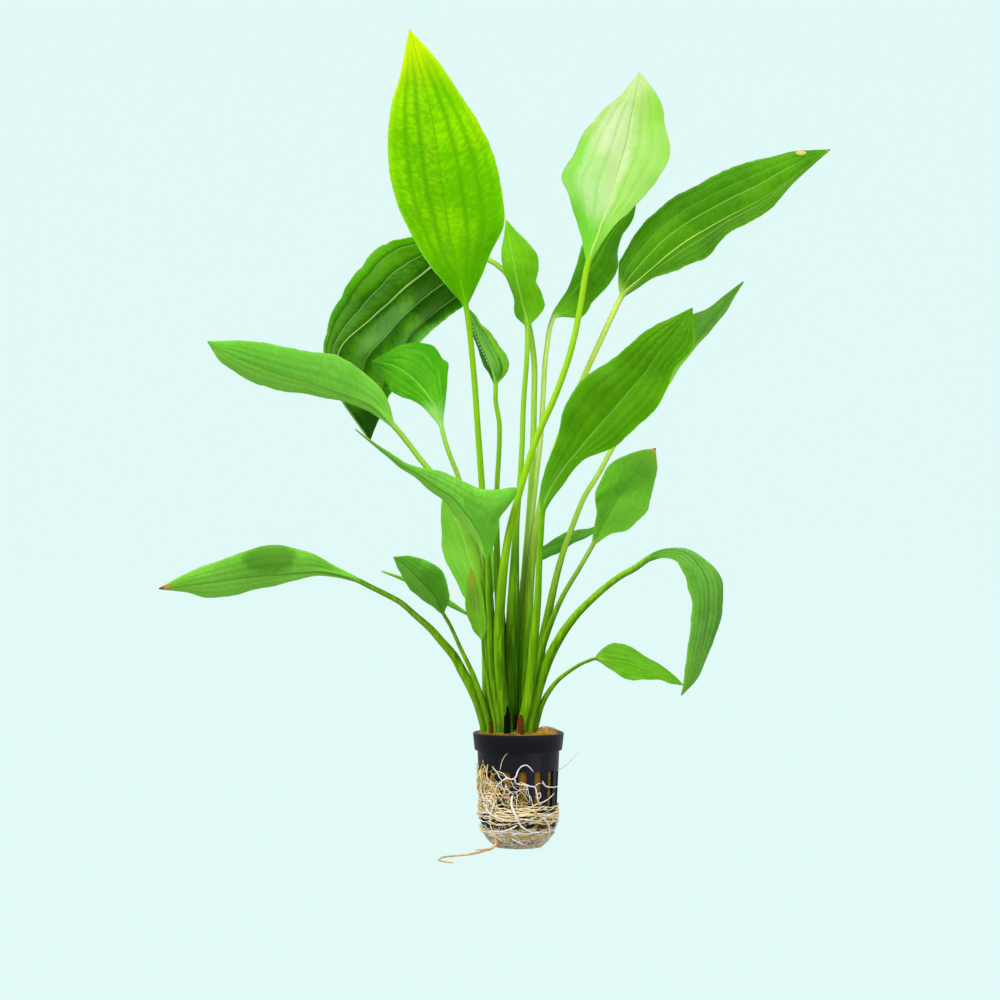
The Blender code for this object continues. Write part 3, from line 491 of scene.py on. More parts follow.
        lean=(0.4, -0.6), radius=(1.5, 0.9), slot="leaf_fresh"),
}
print(len(LEAVES), "leaves")

# %% Curves through points
SIGHT_DISTANCE = 3200.0
EYE_MM = np.array((-10.0, -SIGHT_DISTANCE, 332.0))
FOOT_HEIGHT = 68.0


def smooth(x, low, high):
    t = np.clip((x - low) / (high - low), 0, 1)
    return t * t * (3 - 2 * t)


def unit(vectors):
    return vectors / np.linalg.norm(vectors, axis=-1, keepdims=True)


def chord_knots(points):
    steps = np.linalg.norm(np.diff(points, axis=0), axis=1)
    return np.concatenate([[0.0], np.cumsum(steps)])


def read_curve(knots, values, places):
    """A smooth curve that passes each value at its knot, read at the places."""
    values = np.asarray(values, float)
    knots = np.asarray(knots, float)
    slopes = np.gradient(values, knots, axis=0)
    i = np.clip(np.searchsorted(knots, places, side="right") - 1, 0, len(knots) - 2)
    step = knots[i + 1] - knots[i]
    t = (places - knots[i]) / step
    if values.ndim > 1:
        step, t = step[:, None], t[:, None]
    return (
        (2 * t**3 - 3 * t**2 + 1) * values[i]
        + (t**3 - 2 * t**2 + t) * step * slopes[i]
        + (3 * t**2 - 2 * t**3) * values[i + 1]
        + (t**3 - t**2) * step * slopes[i + 1]
    )


def placed(across, depth, up):
    """Front-view places moved along their lines of sight to their depths."""
    seen = np.stack([across, np.zeros_like(across), up], axis=-1)
    return seen + (seen - EYE_MM) * (depth / SIGHT_DISTANCE)[..., None]


# %% [markdown]
# ## What sets one leaf apart
# All leaves are grown by the same functions, and a few habits tell them apart: how deep the tissue
# folds between the long veins, how the margin waves, which veins show, burnt tips and spots. The
# defaults come first, and each leaf names only what is its own. Relief, wave and ruffle are in
# millimetres, and bow is a share of the half width. A vein is a share of the half width with how
# strongly it shows. A patch is a place on the leaf, its reach, its colour and its strength. Sides
# make the left and right halves sunlit, or shaded below 0. Under says that the leaf's underside is
# in front, and a burnt tip is a share of the blade's length.

# %% Habits that every leaf has
HABIT = dict(
    relief=0.4, skew=1.0, wave=0.8, waves=2.5, bow=0.12, ruffle=0.3, scallop={},
    widths={}, rib_shift=(0.0, 0.0), clasp=0.5, under=False,
    veins=((0.30, 0.5), (0.60, 0.4), (0.84, 0.25)), veins_to=(1.0, 1.0, 1.0), vein_width=0.35,
    crisp=0.55, streak=0.25, slant=0.5, ridge=1.0, ladder=0.0, shaded=0.0, satin=0.0,
    sides=(0.0, 0.0), base_to=0.26, edge=0.25, edge_along=(-0.2, -0.1),
    edge_across=(-90.0, -80.0), tip=0.6, tip_along=(0.70, 1.0), patches=(), burnt=0.0,
    gloss=0.25, roughness=0.42, grain=1.0,
)
print(len(HABIT), "habits")

# %% Each leaf's own habits
HABITS = {
    "leaf_tall": dict(
        relief=0.5, wave=0.5, veins=((0.33, 0.7), (0.63, 0.6), (0.85, 0.3)), vein_width=1.3,
        crisp=0.12, ridge=0.2, streak=0.6, edge=0.35, edge_along=(0.35, 0.80), tip=0.75,
        gloss=0.15, roughness=0.5, base_to=0.42),
    "leaf_pale": dict(
        relief=0.35, wave=1.3, bow=0.10, veins=((0.30, 0.35), (0.60, 0.3), (0.84, 0.2)),
        vein_width=0.9, crisp=0.2, streak=0.18, tip=0.3, edge=0.35, gloss=0.2, roughness=0.55,
        under=True, base_to=0.38, ridge=0.5,
        patches=(((0.02, 0.20), (0.50, 0.42), (112, 210, 36), 0.6),
            ((0.5, 0.0), (0.8, 0.24), (112, 208, 36), 0.6),
            ((0.90, 0.40), (0.34, 0.5), (140, 216, 50), 0.55),
            # The last patch is a painted whitish sheen.
            ((0.34, 0.55), (0.24, 0.40), (220, 236, 190), 0.35))),
    "leaf_far_right": dict(
        relief=0.6, wave=0.9, bow=0.10, veins=((0.34, 0.85), (0.60, 0.3), (0.84, 0.2)), tip=0.3,
        sides=(0.0, -0.35), streak=0.3, ruffle=0.5, satin=0.25, widths={"left": [(0.0625, 14)]},
        burnt=0.006,
        patches=(((0.10, 0.90), (0.085, 0.018), (226, 196, 116), 1.0),)),
    "leaf_dark_upper": dict(relief=0.4, wave=1.4, streak=0.3, clasp=1.0),
    "leaf_centre": dict(
        relief=0.4, bow=0.16, veins=((0.30, 0.25), (0.60, 0.2), (0.84, 0.15)), ridge=0.35,
        streak=0.3, clasp=1.3),
    "leaf_broad_back": dict(
        relief=-0.55, skew=0.75, wave=1.0, waves=3.0, bow=0.06, veins=((0.40, 0.8), (0.76, 0.6)),
        vein_width=0.26, crisp=0.9, streak=0.5, shaded=0.6, satin=0.5, roughness=0.38, ruffle=0.4,
        edge_across=(-1.0, 6.0), rib_shift=(0.0, 0.0, 0.0, 0.0, 2.0, 8.0, 8.0, 3.0, 0.0),
        veins_to=(0.8, 0.45),
        patches=(((0.20, 0.18), (0.36, 0.16), (24, 74, 0), 0.85),
            # The next two patches are a painted sheen.
            ((0.36, 0.46), (0.10, 0.16), (118, 176, 98), 0.35),
            ((0.06, 0.48), (0.12, 0.14), (110, 172, 88), 0.4),
            ((0.88, 0.24), (0.20, 0.22), (104, 184, 0), 0.6)),
        scallop={"right": (0.9, 17.0)},
        widths={"left": [(0.0625, 24)], "right": [(0.0625, 11.5)]}, edge=0.45, tip=0.95,
        tip_along=(0.80, 0.90), clasp=0.9),
    "leaf_left": dict(
        edge=0.0, sides=(0.35, 0.0), wave=0.6, veins=((0.30, 0.3), (0.60, 0.25), (0.84, 0.2)),
        streak=0.5, under=True, roughness=0.6, gloss=0.2),
    "leaf_left_back": dict(
        relief=0.5, wave=0.9, bow=0.16, veins=((0.30, 0.3), (0.60, 0.25), (0.84, 0.15)),
        ridge=0.6, streak=0.3, edge=0.3,
        widths={
            "right": [(0.41, 19.5), (0.5, 20), (0.625, 21.5),
                (0.70, 18), (0.75, 14.5), (0.875, 6.5)]},
        patches=(((0.15, 0.10), (0.40, 0.20), (160, 220, 110), 0.5),)),
    "leaf_bumpy": dict(
        relief=0.8, wave=0.6, bow=0.15, streak=0.35, slant=0.2, ladder=0.9, clasp=0.9,
        patches=(((0.88, 0.45), (0.14, 0.5), (150, 222, 60), 0.6),
            ((0.62, 0.45), (0.12, 0.4), (128, 198, 84), 0.5))),
    "leaf_twisted": dict(
        relief=0.35, wave=1.0, bow=0.22, under=True, roughness=0.55, streak=0.5,
        sides=(0.45, 0.0),
        patches=(((0.75, 0.15), (0.35, 0.20), (84, 164, 36), 0.5),),
        widths={"right": [(0.16, 14.5), (0.205, 31), (0.25, 23), (0.3125, 14.5), (0.375, 11)]}),
    "leaf_light_back": dict(relief=0.35, wave=0.6, streak=0.3),
    "leaf_spotted": dict(
        relief=0.3, wave=0.5, clasp=0.15, burnt=0.012,
        patches=(((0.50, 0.62), (0.35, 0.24), (112, 140, 52), 0.6),
            ((0.40, 0.86), (0.4, 0.16), (160, 158, 44), 0.7))),
    "leaf_low_left": dict(
        sides=(0.3, 0.1), wave=0.7, bow=0.14, veins=((0.30, 0.2), (0.60, 0.2), (0.84, 0.15)),
        under=True, roughness=0.55, streak=0.4, burnt=0.03,
        patches=(((0.2, 0.12), (0.5, 0.25), (150, 230, 84), 0.6),
            ((0.82, 0.44), (0.30, 0.14), (60, 132, 22), 0.7))),
    "leaf_small_left": dict(sides=(0.2, 0.0), relief=0.3, wave=0.6, clasp=0.3, burnt=0.012),
    "leaf_furled": dict(relief=0.0, wave=0.0, clasp=0.15, streak=0.0, ruffle=0.0),
    "leaf_large_right": dict(
        relief=0.55, veins=((0.30, 0.4), (0.60, 0.3), (0.84, 0.2)), streak=0.3, tip=0.4,
        ruffle=0.4),
    "leaf_behind_right": dict(wave=0.7, streak=0.2, grain=0.0, gloss=0.1),
    "leaf_small_right": dict(
        wave=0.6, bow=0.14, streak=0.4, clasp=0.4, burnt=0.022,
        patches=(((0.85, 0.20), (0.46, 0.40), (150, 232, 70), 0.35),)),
    "leaf_edge_on": dict(relief=0.2, wave=0.4, clasp=0.15, gloss=0.0, grain=0.0),
    "leaf_drooping": dict(
        relief=0.6, wave=0.7, bow=0.20, under=True, roughness=0.5,
        veins=((0.30, 0.45), (0.60, 0.4), (0.84, 0.25)), streak=0.3),
    "leaf_low_right": dict(relief=0.35, bow=0.16, clasp=0.2, streak=0.3),
}
for seed, (name, leaf) in enumerate(LEAVES.items()):
    leaf["style"] = {**HABIT, **HABITS[name], "seed": 1.7 * seed + 0.3}

# %% [markdown]
# ## Midline and edges
# Each row across the leaf needs three places: the midrib and the two edges. They are read from
# smooth curves at many rows, close together on the blade, where the outline is judged, and wider
# apart on the stalk. A margin is never a clean curve, so small random swings ruffle it. Low down
# each stalk broadens to clasp its neighbours, which is what makes the bunch a dense one.

# %% Half widths
TIP_RADIUS = 0.35
RUFFLE_STEPS = (4.5, 1.6)
RUFFLE_NEAR = (0.03, 0.15)
RUFFLE_FAR = (1.0, 0.93)
RUFFLE_WIDTH = 8.0
LEFT_SEED = 9.1


def swings(places, step, seed):
    """Smooth random swings about 0, one number for each place."""
    return np.array([noise.noise(Vector((place / step, seed, 0.5))) for place in places])


def half_width(leaf, side, places, along):
    """The blade's half width in millimetres on one side, ruffled and scalloped."""
    style = leaf["style"]
    widths = [leaf["radius"][1], *leaf[side], TIP_RADIUS]
    known = dict(zip(np.linspace(0, 1, len(widths)), widths))
    known.update(style["widths"].get(side, ()))
    shares = sorted(known)
    width = read_curve(shares, [known[share] for share in shares], along)
    broad, fine = RUFFLE_STEPS
    seed = style["seed"] + (LEFT_SEED if side == "left" else 0.0)
    ruffle = swings(places, broad, seed) + 0.5 * swings(places, fine, seed)
    depth, step = style["scallop"].get(side, (0.0, 1.0))
    ruffle = style["ruffle"] * ruffle - depth * (1 - np.abs(np.sin(math.pi * places / step))) ** 2
    ends = smooth(along, *RUFFLE_NEAR) * smooth(along, *RUFFLE_FAR)
    return width + ruffle * ends * np.clip(width / RUFFLE_WIDTH, 0, 1)


# %% Rows along a leaf
TANGENT_STEP = 0.5
RIB_TAPER = 0.7
FLAT_BY = 0.10
LEAN_BY = 0.06
CLASP_HEIGHTS = (215.0, 120.0)
CLASP_SHARES = (0.80, 0.20)


def leaf_rows(leaf, stalk_rows, blade_rows):
    """Row by row: midline, edges, thicknesses, and how far along the blade the row is."""
    route = np.array(leaf["stalk"] + leaf["rib"], float)
    knots = chord_knots(route)
    base, tip = knots[len(leaf["stalk"]) - 1], knots[-1]
    places = np.concatenate([
        np.linspace(0, base, stalk_rows, endpoint=False),
        np.linspace(base, tip, blade_rows),
    ])
    middle = read_curve(knots, route, places)
    further = read_curve(knots, route, np.minimum(places + TANGENT_STEP, tip))
    nearer = read_curve(knots, route, np.maximum(places - TANGENT_STEP, 0))
    ahead = unit(further - nearer)
    leftward = np.stack([-ahead[:, 1], ahead[:, 0]], axis=-1)
    depths = leaf["stalk_depth"] + leaf["blade_depth"]
    count = len(leaf["blade_depth"])
    depth_knots = np.concatenate([
        np.linspace(0, base, len(leaf["stalk_depth"])),
        base + (tip - base) * np.arange(1, count + 1) / count,
    ])
    depth = read_curve(depth_knots, depths, places)
    share = (places - base) / (tip - base)
    along = np.clip(share, 0, 1)
    foot_radius, top_radius = leaf["radius"]
    reach = np.clip(places / base, 0, 1)
    stalk = foot_radius + (top_radius - foot_radius) * reach
    clasp = smooth(reach, *CLASP_SHARES) * smooth(middle[:, 1], *CLASP_HEIGHTS)
    stalk = stalk * (1 + leaf["style"]["clasp"] * clasp)
    shifts = leaf["style"]["rib_shift"]
    shift = read_curve(np.linspace(0, 1, len(shifts)), shifts, along)
    middle = middle - leftward * shift[:, None]
    rows = {"middle": placed(middle[:, 0], depth, middle[:, 1])}
    for side, sign, lean in (("left", 1, leaf["lean"][0]), ("right", -1, leaf["lean"][1])):
        width = np.where(along > 0, half_width(leaf, side, places, along), stalk) + sign * shift
        edge = middle + sign * leftward * width[:, None]
        back = depth + lean * width * smooth(along, 0, LEAN_BY)
        rows[side] = placed(edge[:, 0], back, edge[:, 1])
    rib = top_radius + (TIP_RADIUS - top_radius) * along**RIB_TAPER
    rows["stalk"] = stalk
    rows["rib"] = np.where(along > 0, rib, stalk)
    rows["flat"] = smooth(along, 0, FLAT_BY)
    rows["share"] = share
    rows["length"] = tip - base
    return rows


# %% [markdown]
# ## The skin of a leaf
# On the blade the skin is not smooth. Long veins run from base to tip at steady shares of the
# width, the tissue swells or sinks between them, and the margin waves. These are real shapes, so
# they are in the mesh: columns lie closer together near the midrib, where the shape changes most.
# The finer pattern of cross veins is left to the material. From the blade's base on, the circle of
# the stalk is pressed flat within a short way, while its width already follows the blade's outline.

# %% Relief on the blade
WIDE_BLADE = 12.0
WAVE_PHASES = (0.6, 2.4)
FINE_WAVES = 2.3
FINE_PHASE = 1.7
MARGIN_POWER = 2.2


def vein_gaps(style):
    """The strips of tissue between midrib, veins and margin, as shares of the half width."""
    edges = (0.0, *(share for share, _ in style["veins"]), 1.0)
    return list(zip(edges, edges[1:]))


def swell(size, style):
    """0 on each long vein and 1 about midway between two, for shares of the half width."""
    counted = sum(np.clip((size - low) / (high - low), 0, 1) for low, high in vein_gaps(style))
    return np.abs(np.sin(math.pi * (counted % 1.0) ** style["skew"])) ** 0.8


def blade_lift(style, across, width, along):
    """How far the blade stands off its flat shape, in millimetres."""
    size = np.abs(across)
    wide = np.clip(width / WIDE_BLADE, 0, 1)
    lift = style["bow"] * width * size * (1 - size) * 2
    lift = lift + style["relief"] * swell(size, style) * wide
    phase = np.where(across > 0, *WAVE_PHASES) + style["seed"]
    turns = 2 * math.pi * style["waves"] * along
    waves = np.sin(turns + phase) + 0.5 * np.sin(FINE_WAVES * turns + FINE_PHASE * phase)
    ends = smooth(along, 0.0, 0.15) * smooth(along, 1.0, 0.90)
    return (lift + style["wave"] * wide * size**MARGIN_POWER * waves) * ends


# %% Points of the skin
BLADE_THICKNESS = 0.28
COLUMN_CROWD = 1.35
FOOT_SINK = 3.0
RIB_FRONT = {False: 0.30, True: 0.75}
RIB_BOTH = 1.05
RIB_WIDTH = 1.3
STALK_RIBS = 0.035
SIDE_BLEND = 0.12


def leaf_points(leaf, rows, columns):
    """Places of the skin as rows x columns, with each one's share across, side and half width."""
    style = leaf["style"]
    middle = rows["middle"]
    ahead = unit(np.gradient(middle, axis=0))
    to_left, to_right = rows["left"] - middle, rows["right"] - middle
    face_left = unit(np.cross(ahead, to_left))[:, None, :]
    face_right = unit(np.cross(to_right, ahead))[:, None, :]

    half = columns // 2
    turn = np.linspace(0, 2 * math.pi, 2 * half + 1)[None, :]
    run = np.linspace(1, -1, half + 1)
    run = np.sign(run) * np.abs(run) ** COLUMN_CROWD
    run = np.concatenate([run, run[-2::-1]])[None, :]
    front = np.concatenate([np.ones(half + 1), np.zeros(half)])[None, :]
    flat = rows["flat"][:, None]
    across = np.cos(turn) * (1 - flat) + run * flat

    along = np.clip(rows["share"], 0, 1)[:, None]
    left_width = np.linalg.norm(to_left, axis=1)[:, None]
    right_width = np.linalg.norm(to_right, axis=1)[:, None]
    width = np.where(across > 0, left_width, right_width)
    out = np.where(across[..., None] > 0, to_left[:, None, :], to_right[:, None, :])
    blend = (0.5 + 0.5 * np.tanh(across / SIDE_BLEND))[..., None]
    normal = unit(face_left * blend + face_right * (1 - blend))

    size = np.abs(across)
    lift = blade_lift(style, across, width, along)
    thick = BLADE_THICKNESS * (1 - size**6)
    rib = rows["rib"][:, None]
    ridge = rib * np.exp(-((size * width / np.maximum(rib, 0.2)) ** 2) * RIB_WIDTH)
    shows = RIB_FRONT[style["under"]] * style["ridge"] * (1 - 0.6 * along)
    hidden = lift - thick - (RIB_BOTH - shows) * ridge
    offset = np.where(front > 0, lift + thick + shows * ridge, hidden)
    edges = [0, half, 2 * half]
    offset[:, edges] = lift[:, edges]

    round_offset = np.sin(turn) * rows["stalk"][:, None]
    fluted = 1 + STALK_RIBS * np.cos(5 * turn) * (1 - flat)
    offset = round_offset * (1 - flat) * fluted + offset * flat
    points = middle[:, None, :] + out * (size * fluted)[..., None] + normal * offset[..., None]
    points[0, :, 2] = FOOT_HEIGHT - FOOT_SINK
    return points, across, np.broadcast_to(front, size.shape), width


# %% Wrapping a grid round the leaf
def wrap_grid(name, points, facts, uv):
    """A closed skin: a grid primitive whose first and last columns meet, capped at both ends."""
    rows, columns = points.shape[:2]
    deselect()
    bpy.ops.mesh.primitive_grid_add(x_subdivisions=columns - 1, y_subdivisions=rows - 1, size=1)
    skin = named(name)
    mesh = skin.data
    mesh.vertices.foreach_set("co", (points.reshape(-1, 3) * MM).ravel())
    for fact, values in facts.items():
        mesh.attributes.new(fact, "FLOAT", "POINT").data.foreach_set("value", values.ravel())
    corners = np.zeros(len(mesh.loops), int)
    mesh.loops.foreach_get("vertex_index", corners)
    mesh.uv_layers[0].name = "leaf"
    mesh.uv_layers["leaf"].uv.foreach_set("vector", uv.reshape(-1, 2)[corners].ravel())
    close_up(0.000001, holes=True)
    bpy.ops.object.shade_smooth_by_angle(angle=math.radians(60))
    return skin


# %% Growing one leaf
STALK_ROWS = 46
BLADE_ROWS = (60, 150)
ROW_STEP = 1.1
BROAD_LEAF = 20.0
COLUMNS_BROAD = 88
COLUMNS_NARROW = 60


def grow_leaf(name, leaf):
    """One leaf as a closed skin, finer on a large leaf, and the length of its blade."""
    length = leaf_rows(leaf, 4, 9)["length"]
    rows = leaf_rows(leaf, STALK_ROWS, int(np.clip(length / ROW_STEP, *BLADE_ROWS)))
    broad = max(leaf["left"] + leaf["right"]) > BROAD_LEAF
    columns = COLUMNS_BROAD if broad else COLUMNS_NARROW
    points, across, front, width = leaf_points(leaf, rows, columns)
    share = np.broadcast_to(rows["share"][:, None], across.shape)
    uv = np.stack([(1 - across) / 2, share], axis=-1)
    return wrap_grid(name + "_skin", points, {"half_width": width, "front": front}, uv), length


# %% [markdown]
# ## Leaf colour
# The greens differ from leaf to leaf: the youngest is lime with yellow edges, the old ones are dark
# with pale veins, and undersides are matt. A few colours for each leaf feed one set of functions.
# Deep and fresh green mix in clouds, base, edge and tip tint the parts they are named for, vein and
# rib are the lines, and rib_far is the rib towards the tip. The stalk is in its own colour, and low
# is its foot where that isn't the usual one. Every colour is as the eye sees it, from 0 to 255.

# %% Leaf colours
LOW_STALK = (104, 166, 0)
# DARK_STALK is painted shade on a stalk's right side and its darker grain; LIT_STALK is a painted
# highlight.
DARK_STALK = (34, 88, 0)
LIT_STALK = (158, 216, 30)
UNDERSIDE = (150, 205, 110)
UPPER_FACE = (60, 130, 30)
BURNT = (132, 84, 40)
SCORCHED = (214, 170, 96)
SUNLIT = (184, 255, 96)
SHADED = (24, 74, 0)
THIN_LEAF = dict(
    Specular_Tint=(0.75, 1.0, 0.25), Subsurface_Weight=0.4, Subsurface_Scale=0.0015,
    Subsurface_Radius=(0.25, 0.8, 0.1),
)
PALETTES = {
    "leaf_tall": dict(
        deep=(108, 198, 0), fresh=(164, 234, 0), edge=(196, 242, 0), tip=(238, 252, 0),
        vein=(90, 178, 0), rib=(116, 200, 4), rib_far=(110, 194, 0), base=(78, 170, 0),
        stalk=(140, 206, 24), low=(72, 126, 0)),
    "leaf_pale": dict(
        deep=(158, 204, 96), fresh=(212, 222, 176), edge=(146, 208, 72), tip=(172, 220, 104),
        vein=(126, 200, 68), rib=(196, 230, 120), rib_far=(100, 184, 66), base=(84, 182, 12),
        stalk=(160, 216, 34), low=(84, 142, 0)),
    "leaf_far_right": dict(
        deep=(58, 130, 0), fresh=(88, 162, 8), edge=(78, 156, 6), tip=(92, 168, 12),
        vein=(146, 200, 80), rib=(208, 236, 122), rib_far=(150, 204, 80), base=(56, 122, 6),
        stalk=(214, 240, 110), low=(78, 150, 0)),
    "leaf_dark_upper": dict(
        deep=(70, 146, 0), fresh=(94, 172, 0), edge=(82, 168, 6), tip=(66, 146, 0),
        vein=(94, 174, 30), rib=(108, 190, 44), base=(130, 216, 40), stalk=(226, 252, 140),
        low=(66, 146, 0)),
    "leaf_centre": dict(
        deep=(94, 180, 0), fresh=(132, 212, 10), edge=(116, 204, 4), tip=(120, 208, 6),
        vein=(150, 218, 56), rib=(164, 224, 70), base=(102, 190, 20), stalk=(152, 214, 50),
        low=(60, 130, 0)),
    "leaf_broad_back": dict(
        deep=(52, 122, 4), fresh=(92, 166, 22), edge=(90, 174, 4), tip=(14, 70, 8),
        vein=(168, 218, 124), rib=(176, 224, 128), base=(36, 94, 0), stalk=(176, 226, 90),
        low=(36, 104, 0)),
    "leaf_left": dict(
        deep=(126, 214, 70), fresh=(142, 228, 84), edge=(146, 242, 50), tip=(140, 232, 66),
        vein=(116, 206, 58), rib=(110, 200, 54), base=(156, 236, 84), stalk=(170, 224, 82)),
    "leaf_left_back": dict(
        deep=(62, 156, 4), fresh=(86, 178, 12), edge=(70, 166, 6), tip=(38, 116, 0),
        vein=(98, 188, 46), rib=(132, 200, 70), base=(170, 222, 140), stalk=(160, 216, 80)),
    "leaf_bumpy": dict(
        deep=(40, 108, 4), fresh=(88, 164, 24), edge=(74, 158, 18), tip=(80, 160, 18),
        vein=(50, 126, 12), rib=(112, 188, 64), base=(84, 160, 20), stalk=(136, 204, 40),
        low=(50, 104, 0)),
    "leaf_twisted": dict(
        deep=(124, 212, 60), fresh=(152, 234, 92), edge=(136, 226, 62), tip=(176, 214, 116),
        vein=(100, 188, 50), rib=(96, 182, 48), base=(112, 198, 54), stalk=(96, 170, 24),
        low=(70, 126, 0)),
    "leaf_light_back": dict(
        deep=(102, 178, 38), fresh=(126, 196, 58), edge=(110, 188, 38), tip=(108, 186, 34),
        vein=(138, 202, 84), rib=(144, 206, 88), base=(106, 184, 36), stalk=(110, 190, 34)),
    "leaf_spotted": dict(
        deep=(102, 172, 26), fresh=(122, 190, 40), edge=(118, 188, 30), tip=(140, 184, 50),
        vein=(126, 190, 50), rib=(136, 194, 60), base=(108, 178, 30), stalk=(60, 116, 10)),
    "leaf_low_left": dict(
        deep=(112, 194, 56), fresh=(140, 220, 80), edge=(136, 226, 62), tip=(138, 212, 62),
        vein=(94, 176, 48), rib=(92, 172, 46), base=(152, 240, 82), stalk=(120, 184, 50)),
    "leaf_small_left": dict(
        deep=(90, 170, 38), fresh=(116, 202, 62), edge=(106, 194, 50), tip=(104, 192, 50),
        vein=(86, 168, 44), rib=(74, 154, 36), base=(88, 174, 36), stalk=(74, 130, 30)),
    "leaf_furled": dict(
        deep=(120, 200, 50), fresh=(140, 212, 72), edge=(130, 206, 60), tip=(130, 200, 50),
        vein=(110, 196, 50), rib=(110, 190, 50), base=(120, 200, 50), stalk=(90, 160, 30)),
    "leaf_large_right": dict(
        deep=(66, 134, 0), fresh=(88, 160, 4), edge=(88, 166, 6), tip=(86, 162, 8),
        vein=(98, 172, 36), rib=(134, 200, 74), base=(92, 170, 34), stalk=(104, 186, 12)),
    "leaf_behind_right": dict(
        deep=(112, 178, 62), fresh=(136, 204, 82), edge=(110, 190, 60), tip=(104, 184, 50),
        vein=(128, 200, 84), rib=(156, 218, 106), base=(112, 192, 60), stalk=(196, 234, 110)),
    "leaf_small_right": dict(
        deep=(82, 158, 34), fresh=(110, 190, 42), edge=(106, 190, 36), tip=(136, 186, 50),
        vein=(88, 164, 40), rib=(84, 160, 38), base=(116, 198, 44), stalk=(164, 214, 90)),
    "leaf_edge_on": dict(
        deep=(62, 124, 34), fresh=(88, 154, 50), edge=(80, 146, 44), tip=(70, 134, 36),
        vein=(80, 146, 50), rib=(92, 158, 60), base=(86, 150, 50), stalk=(90, 162, 36)),
    "leaf_drooping": dict(
        deep=(80, 150, 36), fresh=(112, 182, 66), edge=(106, 178, 52), tip=(136, 206, 66),
        vein=(62, 130, 26), rib=(64, 132, 30), base=(100, 170, 52), stalk=(118, 186, 48)),
    "leaf_low_right": dict(
        deep=(80, 156, 6), fresh=(104, 180, 24), edge=(100, 176, 14), tip=(86, 156, 8),
        vein=(120, 190, 46), rib=(126, 192, 54), base=(98, 170, 24), stalk=(76, 104, 34)),
}
print(len(PALETTES), "palettes")

# %% [markdown]
# ## Places on a leaf
# A pattern on a leaf has to follow the leaf. Object coordinates would run straight through a curved
# blade, so the shader reads the leaf's own map, across and along, and the half width in
# millimetres. The half width turns a share into a true distance, so that a vein is as thick on a
# broad leaf as on a narrow one. A slow noise, the wander, keeps every line from being ruled. The
# cross veins are short streaks of noise that lean towards the tip, because rungs drawn all over
# look like knitting.

# %% Coordinates that a leaf's finish uses
WANDER = 1.4
STREAK_OUT = 0.26
STREAK_ALONG = 0.48


class LeafLook(Look):
    """One leaf's finish: u and v are shares across and along it, out is mm from the midrib."""

    def __init__(self, name, leaf, length):
        self.style = leaf["style"]
        gloss = self.style["gloss"]
        super().__init__(name.replace("_", " "), Specular_IOR_Level=gloss, **THIN_LEAF)
        self.colours = {part: paint(*colour) for part, colour in PALETTES[name].items()}
        self.length = length
        self.u, self.v, _ = self.parts(self.node("ShaderNodeUVMap", {"uv_map": "leaf"}))
        self.width = self.attribute("half_width")
        self.wander = self.noise(0.020, 2.0) - 0.5
        self.broad = self.noise(0.030, 3.0)
        self.fine = self.noise(0.0020, 4.0)
        self.out = (self.u * 2 - 1) * self.width + self.wander * WANDER
        self.size = abs(self.out) / self.width
        gaps = vein_gaps(self.style)
        self.counted = sum(self.size.rise(low, high, "LINEAR") for low, high in gaps)
        self.streaks = self.cross_streaks()

    def cross_streaks(self):
        """Short irregular streaks that lean from the midrib towards the tip, from 0 to 1."""
        along = (self.v * self.length - abs(self.out) * self.style["slant"]) * STREAK_ALONG
        place = self.vector(self.out * STREAK_OUT, along, self.counted)
        return self.noise(1.0, 2.5, place).rise(0.35, 0.65)


# %% The green of a blade
def lamina(look):
    """The blade's green: clouds and streaks, tinted at its base, margin and tip."""
    style, colours, v = look.style, look.colours, look.v
    clouds = look.broad.rise(0.32, 0.68) * (1 - style["streak"] * 0.5)
    streaks = (look.streaks - 0.5) * style["streak"]
    colour = look.mix(colours["deep"], colours["fresh"], clouds + streaks)
    base = (v + look.wander * 0.10).rise(style["base_to"], 0.0)
    colour = look.mix(colour, colours["base"], base * 0.9)
    edge = look.size.rise(0.55, 1.0) * v.rise(*style["edge_along"])
    edge = edge * look.out.rise(*style["edge_across"])
    colour = look.mix(colour, colours["edge"], edge * style["edge"])
    tip = (v + look.wander * 0.12).rise(*style["tip_along"])
    return look.mix(colour, colours["tip"], tip * style["tip"])


# %% Marks that only some leaves have
RUNG_STEP = 2.1
RUNG_DARK = (22, 78, 0)
RUNG_PALE = (158, 206, 130)


def patches(look, colour):
    """Soft-edged patches: each has a place, a reach, a colour and a strength."""
    for centre, reach, shade, strength in look.style["patches"]:
        far = (abs(look.u - centre[0]) / reach[0]) ** 2 + (abs(look.v - centre[1]) / reach[1]) ** 2
        patch = (far + (look.noise(0.004, 3.0) - 0.5) * 0.9).rise(1.2, 0.5)
        colour = look.mix(colour, paint(*shade), patch * strength)
    return colour


def rungs(look, colour):
    """Pale rungs on a dark strip beside the midrib, on the left half alone."""
    out, v, strength = look.out, look.v, look.style["ladder"]
    strip = out.rise(-0.2, -0.8) * out.rise(-3.6, -2.8)
    colour = look.mix(colour, paint(*RUNG_DARK), strip * strength)
    rung = (v * look.length / RUNG_STEP + look.wander).fraction()
    rung = rung.rise(0.0, 0.35) * rung.rise(1.0, 0.65) * out.rise(-0.4, -1.0) * out.rise(-2.6, -1.8)
    return look.mix(colour, paint(*RUNG_PALE), rung * v.rise(0.15, 0.3) * strength)


